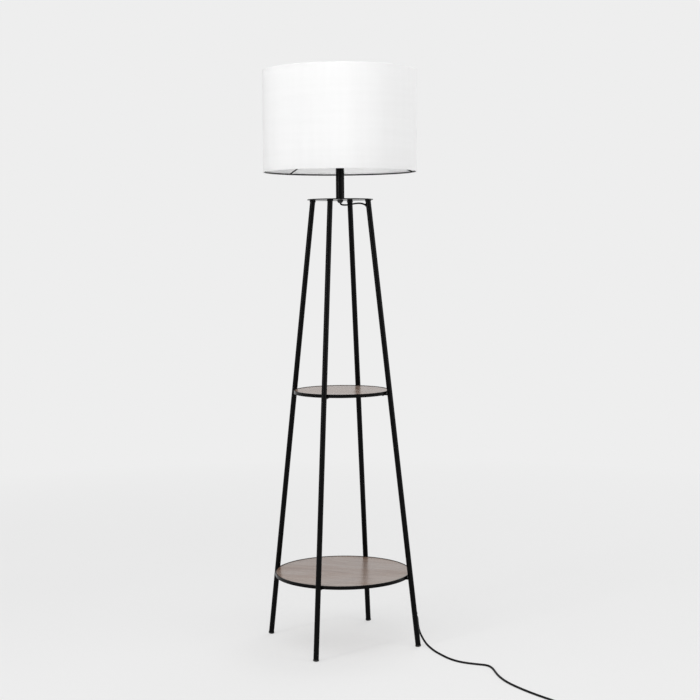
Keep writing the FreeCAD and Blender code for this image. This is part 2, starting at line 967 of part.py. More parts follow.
centre_contact()
bulb_top = bulb_foot + s.bulb_length
base_radius = s.bulb_base_diameter / 2
neck_radius = s.bulb_neck_diameter / 2
bulb_radius = s.bulb_diameter / 2
shoulder_radius = s.bulb_shoulder_diameter / 2
bulb_centre = bulb_top - bulb_radius
bulb_shoulder = bulb_centre - square_root(bulb_radius * bulb_radius - shoulder_radius * shoulder_radius)
tip_radius = base_radius * 0.4
tip_end = bulb_foot + s.bulb_tip_height
cone_end = tip_end + s.bulb_cone_height
node(
    turned(
        "bulb_base",
        [
            (ZERO, bulb_foot),
            (tip_radius, bulb_foot),
            (tip_radius, tip_end),
            (base_radius * 0.8, cone_end),
            (base_radius, cone_end + s.bulb_tip_height),
            (base_radius, bulb_split - s.bulb_skirt_height),
            (neck_radius, bulb_split),
            (ZERO, bulb_split),
        ],
    )
)
inner_scale = (bulb_radius - s.bulb_wall) / bulb_radius
node(
    turned(
        "bulb_glass",
        [
            (neck_radius - s.bulb_wall, bulb_split, s.bulb_neck_curve),
            (neck_radius, bulb_split),
            (shoulder_radius, bulb_shoulder, -s.bulb_neck_curve),
            (ZERO, bulb_top, bulb_radius),
            (ZERO, bulb_top - s.bulb_wall),
            (
                shoulder_radius * inner_scale,
                bulb_centre - (bulb_centre - bulb_shoulder) * inner_scale,
                s.bulb_wall - bulb_radius,
            ),
        ],
    )
)


# ---- shade ----

shade_radius = s.shade_diameter / 2
wire_radius = s.shade_wire / 2
ring_radius = shade_radius - s.shade_wall - wire_radius - s.seat_gap / 2
fitter_mid = holder_split + s.fitter_above_holder + s.fitter_thickness / 2
bottom_wire = fitter_mid - s.carrier_drop
shade_bottom = bottom_wire - wire_radius - s.seat_gap
shade_top = shade_bottom + s.shade_height
node(
    turned(
        "shade_cover",
        [
            (shade_radius - s.shade_wall, shade_bottom),
            (shade_radius, shade_bottom),
            (shade_radius, shade_top),
            (shade_radius - s.shade_wall, shade_top),
        ],
    )
)
top_ring = named("Part::Torus", "shade_top_ring")
bind(top_ring, "Radius1", ring_radius)
bind(top_ring, "Radius2", wire_radius)
node(place(top_ring, z=shade_top - wire_radius - s.seat_gap))
print(f"total height {shade_top.value:.1f} mm")


def shade_frame():
    """The wire carrier: a fitter ring, three bent arms and the bottom ring, welded."""
    body = named("PartDesign::Body", "shade_bottom_frame")
    fitter = sketch_on(body, "XZ_Plane", "fitter_profile")
    inner = holder_radius + s.seat_gap
    start = s.clamp_ring_diameter / 2 + s.arm_inset
    outer = start + s.fitter_margin
    bend = outer + s.arm_run
    half = s.fitter_thickness / 2
    path(fitter, [(inner, -half), (outer, -half), (outer, half), (inner, half)])
    spin = body.newObject("PartDesign::Revolution", "fitter_ring")
    spin.Profile = fitter
    spin.ReferenceAxis = (fitter, ["V_Axis"])
    spin.Angle = 360.0

    drop = s.carrier_drop
    fall = arctangent(drop / (ring_radius - bend))
    rounding = s.shade_wire * 3
    half_turn = rounding * sine(fall / 2) / cosine(fall / 2)
    second = (bend + half_turn * cosine(fall), -half_turn * sine(fall), -rounding)
    route = sketch_on(body, "XZ_Plane", "arm_route")
    corners = [(start, ZERO), (bend - half_turn, ZERO), second, (ring_radius, -drop)]
    path(route, corners, closed=False)
    section = sketch_on(body, "YZ_Plane", "arm_section")
    rings(section, s.shade_wire)
    section.AttachmentOffset = Placement(Vector(0, 0, start.value), Rotation())
    section.setExpression("AttachmentOffset.Base.z", start.formula)
    arm = body.newObject("PartDesign::AdditivePipe", "arm")
    arm.Profile = section
    arm.Spine = route
    doc.recompute()
    patterned(body, [arm], "arms", s.arm_count)
    doc.recompute()

    ring = sketch_on(body, "XZ_Plane", "bottom_ring_profile")
    circle_at(ring, ring_radius, -drop, wire_radius)
    loop = body.newObject("PartDesign::Revolution", "bottom_ring")
    loop.Profile = ring
    loop.ReferenceAxis = (ring, ["V_Axis"])
    loop.Angle = 360.0
    body.Tip = loop
    return node(place(body, z=fitter_mid, angle=s.arm_first_angle))


shade_frame()


def clamp_ring(label, seat, upward):
    """A threaded ring on the lampholder, its flange towards the fitter ring."""
    inner = holder_radius + s.screw_clearance
    outer = s.clamp_ring_diameter / 2
    hub = inner + s.clamp_ring_lip
    lip = s.clamp_ring_lip
    tall = s.clamp_ring_height
    way = 1.0 if upward else -1.0
    return node(
        turned(
            label,
            [
                (inner, seat),
                (outer, seat),
                (outer, seat + lip * way),
                (hub, seat + lip * way),
                (hub, seat + tall * way),
                (inner, seat + tall * way),
            ],
        )
    )


clamp_ring("lower_clamp_ring", fitter_mid - s.fitter_thickness / 2 - s.seat_gap / 2, upward=False)
clamp_ring("upper_clamp_ring", fitter_mid + s.fitter_thickness / 2 + s.seat_gap / 2, upward=True)


# ---- cord: straight runs joined by tangent arcs ----


def tangent_arc(start, heading, end):
    """The arc that leaves start along heading and ends at end."""
    chord = end - start
    along = Vector(chord).normalize()
    side = heading - along * heading.dot(along)
    angle = heading.getAngle(along)
    middle = (start + end) / 2 + Vector(side).normalize() * (chord.Length / 2 * math.tan(angle / 2))
    return Part.Arc(start, middle, end).toShape()


def rounded_route(points, fixed_radius=None):
    """A wire along the points, and the radii of the arcs that round its corners."""
    edges = []
    radii = []
    at = points[0]
    for before, corner, after in zip(points, points[1:], points[2:]):
        arriving = (corner - before).normalize()
        leaving = (after - corner).normalize()
        shorter = min((corner - before).Length, (after - corner).Length)
        half_turn = math.tan(arriving.getAngle(leaving) / 2)
        radius = fixed_radius or 0.45 * shorter / half_turn
        cut_back = radius * half_turn
        first = corner - arriving * cut_back
        second = corner + leaving * cut_back
        edges.append(Part.LineSegment(at, first).toShape())
        edges.append(tangent_arc(first, arriving, second))
        radii.append(radius)
        at = second
    edges.append(Part.LineSegment(at, points[-1]).toShape())
    return Part.Wire(edges), radii


def tube_along(label, wire, section, area):
    """A solid swept along a wire, checked against section times length."""
    solid = wire.makePipeShell([section], True, False)
    expected = area * wire.Length
    if abs(solid.Volume / expected - 1) > 0.02:
        raise RuntimeError(f"{label}: volume {solid.Volume:.0f}, not {expected:.0f}")
    return node(shape_only(label, solid))


def round_section(wire, radius):
    start = wire.Edges[0]
    first = start.valueAt(start.FirstParameter)
    heading = start.tangentAt(start.FirstParameter)
    return Part.Wire([Part.makeCircle(radius, first, heading)])


def cord_tube(label, points):
    radius = s.cord_width.value / 2
    wire, radii = rounded_route(points)
    tightest = min(radii) / s.cord_width.value
    print(f"{label}: length {wire.Length:.0f} mm, tightest arc {tightest:.1f} diameters")
    return tube_along(label, wire, round_section(wire, radius), math.pi * radius * radius)


def flat_section(centre, across, thick):
    """The twin cord's section: two round sides and two flats."""
    edge_radius = s.cord_thickness.value / 2
    flat = s.cord_width.value / 2 - edge_radius
    corners = [
        centre + across * x + thick * y
        for x, y in ((-flat, -edge_radius), (flat, -edge_radius), (flat, edge_radius), (-flat, edge_radius))
    ]
    right = centre + across * (flat + edge_radius)
    left = centre - across * (flat + edge_radius)
    section = Part.Wire(
        [
            Part.LineSegment(corners[0], corners[1]).toShape(),
            Part.Arc(corners[1], right, corners[2]).toShape(),
            Part.LineSegment(corners[2], corners[3]).toShape(),
            Part.Arc(corners[3], left, corners[0]).toShape(),
        ]
    )
    return section, 4 * flat * edge_radius + math.pi * edge_radius * edge_radius


# The flex that the lamp holds: from the lampholder down the nipple, out of the
# gland, over to the cord's leg and down inside it. It lies in the plane y = 0.
HELD_BEND = 6.0
# Share of the way from the gland to the leg, and height above the leg's hole.
LOOP_POINTS = [(0.0, 0.7), (0.34, 1.3), (0.60, 5.0), (0.845, 4.9)]


def leg_point(outward, along):
    """A point given outward from the leg's axis and along it, in the plane y = 0."""
    lean = Rotation(Y_AXIS, -leg_tilt.value)
    return Vector(s.leg_foot_radius.value, 0, 0) + lean.multVec(Vector(outward, 0, along))


def held_flex():
    flex_top = Vector(0, 0, (holder_foot + s.nipple_reach + 3.0).value)
    hole = leg_point(-leg_radius.value, loop_along.value)
    loop = [Vector(hole.x * share, 0, hole.z + rise) for share, rise in LOOP_POINTS]
    elbow = leg_point(0, loop_along.value - 3.4)
    low_end = leg_point(0, (outlet_start + s.outlet_elbow).value)
    wire, radii = rounded_route([flex_top] + loop + [elbow, low_end], HELD_BEND)
    section, area = flat_section(flex_top, Y_AXIS, X_AXIS)
    print(f"held_flex: length {wire.Length:.0f} mm, arcs {min(radii):.1f} mm")
    return tube_along("held_flex", wire, section, area)


def outlet_flex():
    """The last of the held flex: an elbow from the leg's axis to the outlet's tip."""
    points = [
        leg_point(0, (outlet_start + s.outlet_elbow).value),
        leg_point(0, outlet_start.value),
        outlet_axis(outlet_reach).Base,
    ]
    radius = s.cord_width.value / 2
    wire, radii = rounded_route(points)
    print(f"outlet_flex: length {wire.Length:.0f} mm, arc {radii[0]:.1f} mm")
    return tube_along("outlet_flex", wire, round_section(wire, radius), math.pi * radius * radius)


# The outlet's axis slants down through the leg's wall.
wall_crossing = leg_radius / sine(s.outlet_slant)
outlet_reach = wall_crossing + s.outlet_nose


def cord_outlet():
    """The nose, outside the leg, that the cord comes out of."""
    bore, collar, tip = outlet_bore / 2, grommet_hole / 2 + s.outlet_lip, tip_diameter / 2
    nose = turned(
        "cord_outlet_nose",
        [
            (bore, wall_crossing - s.outlet_nose),
            (collar, wall_crossing - s.outlet_nose),
            (collar, wall_crossing + s.outlet_nose / 3),
            (tip, outlet_reach),
            (bore, outlet_reach),
        ],
    )
    return outlet_turned(nose)


def moulded_to_leg(label, piece, neck):
    """Keep of a piece what lies outside the leg's tube, and its neck through the wall."""
    tube = rod(label + "_leg", leg_radius, leg_top)
    on_leg(tube)
    outside = cut(label + "_outside", piece, tube)
    return node(fused(label, outside, neck))


def outlet_neck():
    """The neck, pressed slanting through the leg's wall."""
    bore, neck = outlet_bore / 2, grommet_hole / 2 - s.plug_clearance
    low, high = wall_crossing - s.leg_wall * 2, wall_crossing + s.leg_wall
    ring = [(bore, low), (neck, low), (neck, high), (bore, high)]
    return outlet_turned(turned("cord_outlet_neck", ring))


moulded_to_leg("cord_outlet", cord_outlet(), outlet_neck())


def loop_grommet():
    """A grommet in the leg's inner side, where the cord loop goes in."""
    bore, neck = grommet_bore / 2, grommet_hole / 2 - s.plug_clearance
    flange = grommet_hole / 2 + s.grommet_lip
    face = leg_radius + s.grommet_proud
    shoulder = leg_radius + s.grommet_proud / 2
    outer = [
        (bore, leg_radius / 2),
        (flange, leg_radius / 2),
        (flange, shoulder),
        (flange - s.grommet_proud / 2, face),
        (bore, face),
    ]
    low = leg_radius - s.leg_wall * 1.5
    inner = [(bore, low), (neck, low), (neck, shoulder), (bore, shoulder)]
    rim = facing_stem(turned("loop_grommet_flange", outer))
    return moulded_to_leg("loop_grommet", rim, facing_stem(turned("loop_grommet_neck", inner)))


loop_grommet()
held_flex()
outlet_flex()


# ---- foot switch on the cord ----


def heading_at(turn):
    """The level direction at an angle about the vertical."""
    return Rotation(Z_AXIS, turn.value).multVec(X_AXIS)


switch_split = s.switch_base_height
switch_top = switch_split + s.switch_cover_height
sleeve_axis = s.switch_base_height
switch_heading = heading_at(s.switch_turn)
switch_spot = Vector(s.switch_x.value, s.switch_y.value, 0)


def on_switch(piece, height=ZERO):
    return node(place(piece, x=s.switch_x, y=s.switch_y, z=height, angle=s.switch_turn))


def rounded_plan(sketch, length, width, corner):
    """A rectangle with round corners, about the sketch's origin."""
    x, y, r = length / 2, width / 2, corner
    sides = [(-x, r - y), (r - x, -y, r), (x - r, -y), (x, r - y, r)]
    path(sketch, sides + [(x, y - r), (x - r, y, r), (r - x, y), (-x, y - r, r)])


def sleeve_holes(body, label, depth):
    """Half-round seats for the sleeves at both ends of a switch shell."""
    sketch = sketch_on(body, "YZ_Plane", label + "_seat_profile")
    rings(sketch, sleeve_diameter + s.plug_clearance * 2)
    pocketed(body, sketch, label + "_seats", depth, both=True)


def inner_plan(sketch):
    wall = s.switch_wall
    rounded_plan(sketch, s.switch_length - wall * 2, s.switch_width - wall * 2, s.switch_corner - wall)


SCREW_SPOTS = [s.switch_screw_spacing / 2 * way for way in (-1.0, 1.0)]


def at_screws(sketch, radius):
    for x in SCREW_SPOTS:
        circle_at(sketch, x, ZERO, radius)


def switch_base():
    """The lower shell: a tray with two screw holes and half-round sleeve seats."""
    body = named("PartDesign::Body", "switch_base")
    plan = sketch_on(body, "XY_Plane", "switch_base_plan")
    rounded_plan(plan, s.switch_length, s.switch_width, s.switch_corner)
    slab = padded(body, plan, "switch_base_slab", switch_split, reverse=True)
    foot_at = -switch_split.value
    filleted(
        body, slab, "switch_base_foot", s.switch_foot_rounding, lambda e: e.BoundBox.ZMax < foot_at + 0.01
    )
    hollow = sketch_on(body, "XY_Plane", "switch_base_hollow_plan")
    inner_plan(hollow)
    pocketed(body, hollow, "switch_base_hollow", switch_split - s.switch_wall)
    posts = sketch_on(body, "XY_Plane", "switch_base_post_plan")
    at_screws(posts, s.switch_boss / 2)
    padded(body, posts, "switch_base_posts", switch_split - s.switch_wall / 2, reverse=True)
    holes = sketch_on(body, "XY_Plane", "switch_base_screw_plan")
    at_screws(holes, s.switch_screw_diameter / 2 + s.screw_clearance)
    pocketed(body, holes, "switch_base_screw_holes", switch_split * 2)
    heads = sketch_on(body, "XY_Plane", "switch_base_head_plan")
    heads.AttachmentOffset = Placement(Vector(0, 0, foot_at), Rotation())
    heads.setExpression("AttachmentOffset.Base.z", (-switch_split).formula)
    at_screws(heads, s.switch_screw_head / 2 + s.screw_clearance)
    pocketed(body, heads, "switch_base_head_wells", s.switch_wall + s.seat_gap, reverse=True)
    sleeve_holes(body, "switch_base", s.switch_length + 1.0)
    return on_switch(body, switch_split)


def switch_cover():
    """The upper shell, rounded on top, with the button's hole."""
    body = named("PartDesign::Body", "switch_cover")
    plan = sketch_on(body, "XY_Plane", "switch_cover_plan")
    rounded_plan(plan, s.switch_length, s.switch_width, s.switch_corner)
    slab = padded(body, plan, "switch_cover_slab", s.switch_cover_height)
    top = s.switch_cover_height.value
    filleted(body, slab, "switch_cover_crown", s.switch_top_rounding, lambda e: e.BoundBox.ZMin > top - 0.01)
    hollow = sketch_on(body, "XY_Plane", "switch_cover_hollow_plan")
    inner_plan(hollow)
    roof = s.switch_cover_height - s.switch_wall
    inside = pocketed(body, hollow, "switch_cover_hollow", roof - s.switch_top_rounding, reverse=True)
    upper = sketch_on(body, "XY_Plane", "switch_cover_well_plan")
    rings(upper, s.button_diameter + (s.button_flange_width + s.button_clearance) * 2)
    pocketed(body, upper, "switch_cover_well", roof, reverse=True)
    opening = sketch_on(body, "XY_Plane", "switch_cover_opening_plan")
    rings(opening, s.button_diameter + s.button_clearance * 2)
    pocketed(body, opening, "switch_cover_opening", s.switch_cover_height * 2, reverse=True)
    bosses = sketch_on(body, "XY_Plane", "switch_cover_boss_plan")
    at_screws(bosses, s.switch_boss / 2)
    padded(body, bosses, "switch_cover_bosses", roof)
    holes = sketch_on(body, "XY_Plane", "switch_cover_screw_plan")
    at_screws(holes, s.switch_screw_diameter / 2 + s.screw_clearance)
    pocketed(body, holes, "switch_cover_screw_holes", roof / 2, reverse=True)
    sleeve_holes(body, "switch_cover", s.switch_length + 1.0)
    return on_switch(body, switch_split)


def switch_button():
    """A round push button: crown, retaining flange and the stem that works the block."""
    radius = s.button_diameter / 2
    flange = radius + s.button_flange_width
    crown = switch_top + s.button_above_cover
    seat = switch_top - s.switch_wall - s.seat_gap
    stem = s.button_stem_diameter / 2
    dome_edge = crown - s.button_dome
    dome_radius = (radius * radius + s.button_dome * s.button_dome) / (s.button_dome * 2)
    body = turned(
        "switch_button",
        [
            (ZERO, block_top - s.seat_gap * 2),
            (stem, block_top - s.seat_gap * 2),
            (stem, seat - s.button_flange),
            (flange, seat - s.button_flange),
            (flange, seat),
            (radius, seat),
            (radius, dome_edge),
            (ZERO, crown, dome_radius),
        ],
    )
    return on_switch(body)


block_top = switch_top - s.switch_wall - s.seat_gap * 2 - s.button_flange - s.button_travel
block_foot = s.switch_wall


def switch_block():
    """The switching unit in the base, with the well that the button's stem works in."""
    x, y = s.block_length / 2, s.block_width / 2
    case = box("switch_block_case", (-x, -y, block_foot), (x, y, block_top))
    well = rod("switch_block_well", s.button_stem_diameter / 2 + s.button_clearance, s.switch_top_rounding)
    place(well, z=block_top - s.button_travel - s.seat_gap * 4)
    return on_switch(cut("switch_block", case, well))


def switch_screws():
    pieces = []
    for number, x in enumerate(SCREW_SPOTS):
        shank = s.switch_screw_diameter / 2
        head = s.switch_screw_head / 2
        height = switch_split + s.switch_cover_height / 3
        foot_at = s.seat_gap
        neck = s.switch_wall
        profile = [
            (ZERO, foot_at),
            (head, foot_at),
            (head, neck),
            (shank, neck),
            (shank, height),
            (ZERO, height),
        ]
        pieces.append(place(turned(f"switch_screw_{number}", profile), x=x))
    return on_switch(group("switch_screws", pieces))


def switch_sleeves():
    """A tapered rubber sleeve where the cord enters each end of the switch."""
    pieces = []
    for number, way in enumerate((-1.0, 1.0)):
        end = s.switch_length / 2
        bore = outlet_bore / 2
        wide = sleeve_diameter / 2
        profile = [
            (bore, end - s.switch_wall - s.sleeve_seat),
            (wide, end - s.switch_wall - s.sleeve_seat),
            (wide, end + s.sleeve_seat),
            (tip_diameter / 2, end + s.switch_sleeve),
            (bore, end + s.switch_sleeve),
        ]
        piece = turned(f"switch_sleeve_{number}", profile)
        pieces.append(place(piece, z=sleeve_axis, about=Y_AXIS, angle=90.0 * way))
    return on_switch(group("switch_sleeves", pieces))


switch_base()
switch_cover()
switch_button()
switch_block()
switch_screws()
switch_sleeves()

cord_reach = s.switch_length / 2 + s.switch_sleeve - s.sleeve_seat * 2
switch_entry = switch_spot - switch_heading * cord_reach.value + Z_AXIS * sleeve_axis.value
switch_exit = switch_spot + switch_heading * cord_reach.value + Z_AXIS * sleeve_axis.value


# ---- the cord on the floor, its coil and the plug ----

z0 = floor_line.value
FLOOR_POINTS = [
    (199.0, 26.0, 59.5),
    (200.0, 27.5, 45.5),
    (205.5, 26.0, 31.5),
    (215.6, 20.0, 18.8),
    (225.1, 11.0, 9.2),
    (234.4, -1.4, 4.2),
    (245.5, -14.5, z0),
    (263.0, -36.4, z0),
    (287.0, -63.0, z0),
    (318.0, -92.4, z0),
    (353.0, -111.4, z0),
    (394.0, -116.4, z0),
    (417.5, -118.0, z0),
    (434.5, -130.5, z0),
    (447.5, -151.0, z0),
    (460.0, -178.0, z0),
    (476.5, -206.0, z0),
    (502.0, -238.5, z0),
    (545.0, -277.5, z0),
    (590.0, -311.0, z0),
    (625.5, -333.0, z0),
    (655.7, -350.5, z0),
    (675.0, -376.5, z0),
    (674.5, -407.5, 3.4),
    (655.5, -430.0, 5.8),
]
cord_tube(
    "floor_cord",
    [outlet_axis(outlet_reach).Base, outlet_axis(outlet_reach + 14.0).Base]
    + [Vector(*p) for p in FLOOR_POINTS]
    + [switch_entry - switch_heading * 16.0, switch_entry],
)


def coil_wire():
    """A two-layer coil: spiral in, climb half a turn, spiral out. Its start and end run straight."""
    width = s.cord_width.value
    pitch = width + s.coil_gap.value
    lead = switch_heading * width
    inward = Vector(switch_heading.y, -switch_heading.x, 0)
    layer = int(s.coil_layer_half_turns.value)
    radii = [s.coil_first_radius.value - pitch / 2 * turn for turn in range(layer + 1)]
    at = Vector(s.coil_x.value, s.coil_y.value, z0)
    edges = [Part.LineSegment(at - lead, at).toShape()]
    way = 1.0

    def half_turn(radius, rise):
        nonlocal at, way
        heading = switch_heading * way
        across = inward * (2 * radius * way)
        end = at + across + Z_AXIS * rise
        middle = at + across / 2 + heading * math.hypot(radius, rise / 2) + Z_AXIS * (rise / 2)
        if rise:
            edges.append(tangent_arc(at, heading, middle))
            back = tangent_arc(end, heading, middle)
            edges.append(back.reversed())
        else:
            edges.append(Part.Arc(at, middle, end).toShape())
        at = end
        way = -way

    for radius in radii[:-1]:
        half_turn(radius, 0.0)
    half_turn(radii[-1], pitch)
    for radius in radii[-2:0:-1]:
        half_turn(radius, 0.0)
    edges.append(Part.LineSegment(at, at + switch_heading * (width * way)).toShape())
    return Part.Wire(edges), at + switch_heading * (width * way)


def least_gap(wire, width):
    """The least clear space between turns of a tube, from points along its line."""
    step = width / 2
    points = wire.discretize(int(wire.Length / step))
    apart = int(4 * width / step)
    least = min(
        (points[j] - points[i]).Length
        for i in range(len(points))
        for j in range(i + apart, len(points))
    )
    return least - width


coil_route, coil_end = coil_wire()
coil_start = coil_route.Edges[0].valueAt(0)
half_width = s.cord_width.value / 2
tube_along("cord_coil", coil_route, round_section(coil_route, half_width), math.pi * half_width**2)
coil_space = least_gap(coil_route, s.cord_width.value)
print(f"cord_coil: length {coil_route.Length:.0f} mm, least gap to itself {coil_space:.2f} mm")

coil_lead = coil_start - switch_heading * 12.0
cord_tube(
    "switch_lead",
    [switch_exit, switch_exit + switch_heading * 12.0, Vector(483.5, -495.2, 4.6), coil_lead, coil_start],
)

plug_heading = heading_at(s.plug_turn)
plug_tip = Vector(s.plug_tip_x.value, s.plug_tip_y.value, s.plug_thickness.value / 2)
TAIL_POINTS = [(417.5, -510.9, 6.8), (401.5, -514.4, 4.0), (384.5, -515.4, 3.7)]
cord_tube(
    "plug_lead",
    [coil_end, coil_end + switch_heading * 14.0]
    + [Vector(*p) for p in TAIL_POINTS]
    + [plug_tip - plug_heading * 15.0, plug_tip],
)


def on_plug(piece, height=ZERO):
    return place(piece, x=s.plug_tip_x, y=s.plug_tip_y, z=height, angle=s.plug_turn)


def plug_body():
    """A flat two-pin plug: a tapering body with rounded edges and a sleeve for the cord."""
    middle = s.plug_thickness / 2
    body = named("PartDesign::Body", "plug_shell")
    plan = sketch_on(body, "XY_Plane", "plug_plan")
    back = s.plug_sleeve
    front = back + s.plug_length
    wide, narrow = s.plug_width / 2, s.plug_tail_width / 2
    path(
        plan,
        [
            (back, -narrow),
            (back + s.plug_shoulder, -wide),
            (front, -wide),
            (front, wide),
            (back + s.plug_shoulder, wide),
            (back, narrow),
        ],
    )
    slab = padded(body, plan, "plug_slab", s.plug_thickness)
    slab.Midplane = True
    filleted(body, slab, "plug_edges", s.plug_rounding, lambda edge: True)
    on_plug(body, middle)
    sleeve = turned(
        "plug_sleeve",
        [
            (ZERO, s.plug_rounding * 2 + back),
            (ZERO, ZERO),
            (tip_diameter / 2, ZERO),
            (sleeve_diameter / 2, back + s.plug_rounding),
            (sleeve_diameter / 2, s.plug_rounding * 2 + back),
        ],
    )
    facing = Rotation(Z_AXIS, s.plug_turn.value) * Rotation(Y_AXIS, 90.0)
    sleeve.Placement = Placement(plug_tip, facing)
    return node(fused("plug_body", body, sleeve))


def plug_pins():
    pieces = []
    facing = Rotation(Z_AXIS, s.plug_turn.value) * Rotation(Y_AXIS, 90.0)
    for number, way in enumerate((-1.0, 1.0)):
        radius = s.pin_diameter / 2
        front = s.plug_sleeve + s.plug_length
        tip = front + s.pin_length
        profile = [
            (ZERO, front),
            (radius, front),
            (radius, tip - radius),
            (ZERO, tip, radius),
        ]
        pin = turned(f"plug_pin_{number}", profile)
        side = Vector(-plug_heading.y, plug_heading.x, 0) * (s.pin_spacing.value / 2 * way)
        pin.Placement = Placement(plug_tip + side, facing)
        pieces.append(pin)
    return node(group("plug_pins", pieces))


plug_body()
plug_pins()


# ---- checks and export ----

doc.recompute()
faults = [o.Label for o in doc.Objects if "Invalid" in o.State or "Error" in o.State]
for label, piece in nodes.items():
    shape = piece.Shape
    if shape.isNull() or not shape.isValid() or not shape.Solids:
        faults.append(label + " has no valid solid")
if faults:
    raise RuntimeError("not built: " + ", ".join(faults))
for label, piece in nodes.items():
    piece.Shape.exportStep(f"parts/{label}.step")
print(f"{len(nodes)} nodes written")
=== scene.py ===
import json
import math

import bpy
from mathutils import Matrix, Vector


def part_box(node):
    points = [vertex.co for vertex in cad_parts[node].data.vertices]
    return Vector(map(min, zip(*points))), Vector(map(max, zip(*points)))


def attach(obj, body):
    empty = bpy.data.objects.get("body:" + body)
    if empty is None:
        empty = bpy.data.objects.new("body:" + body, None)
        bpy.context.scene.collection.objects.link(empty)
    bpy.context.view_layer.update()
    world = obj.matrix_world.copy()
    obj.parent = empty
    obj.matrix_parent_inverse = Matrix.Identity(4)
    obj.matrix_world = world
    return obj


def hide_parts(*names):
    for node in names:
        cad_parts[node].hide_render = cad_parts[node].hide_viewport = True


# Shelf floor lamp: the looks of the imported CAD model, in metres and in its frame.

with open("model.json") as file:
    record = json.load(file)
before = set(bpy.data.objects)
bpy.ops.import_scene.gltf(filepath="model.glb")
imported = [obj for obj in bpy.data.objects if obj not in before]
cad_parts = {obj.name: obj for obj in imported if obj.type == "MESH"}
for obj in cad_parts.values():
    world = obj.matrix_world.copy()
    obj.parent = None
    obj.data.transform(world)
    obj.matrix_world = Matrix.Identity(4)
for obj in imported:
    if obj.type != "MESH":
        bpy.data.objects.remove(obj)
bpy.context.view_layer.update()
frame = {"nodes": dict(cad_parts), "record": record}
nodes = frame["nodes"]
scene = bpy.context.scene
UP = Vector((0, 0, 1))


# ---- camera, solved from the feet, the shelves, the plate and the shade of the photo ----

IMAGE_PIXELS = 700
FOCAL_PIXELS = 1425.4
SENSOR_WIDTH = 36.0
SIGHT_LIMIT = 40.0
CAMERA_SPOT = Vector((1.2576, -3.5175, 1.0535))
CAMERA_RIGHT = Vector((0.9437, 0.3309, 0.0))
CAMERA_FORWARD = Vector((-0.3300, 0.9411, -0.0742))
CAMERA_ROLL = math.radians(-0.410)


def make_camera():
    data = bpy.data.cameras.new("camera")
    data.sensor_width = SENSOR_WIDTH
    data.lens = FOCAL_PIXELS / IMAGE_PIXELS * data.sensor_width
    data.clip_end = SIGHT_LIMIT
    camera = bpy.data.objects.new("camera", data)
    scene.collection.objects.link(camera)
    right = CAMERA_RIGHT.normalized()
    forward = CAMERA_FORWARD.normalized()
    up = right.cross(forward).normalized()
    rolled_right = right * math.cos(CAMERA_ROLL) + up * math.sin(CAMERA_ROLL)
    rolled_up = up * math.cos(CAMERA_ROLL) - right * math.sin(CAMERA_ROLL)
    turn = Matrix((rolled_right, rolled_up, -forward)).transposed()
    camera.matrix_world = Matrix.Translation(CAMERA_SPOT) @ turn.to_4x4()
    scene.camera = camera


make_camera()


# ---- material helpers ----


def grey(level):
    return (level, level, level)


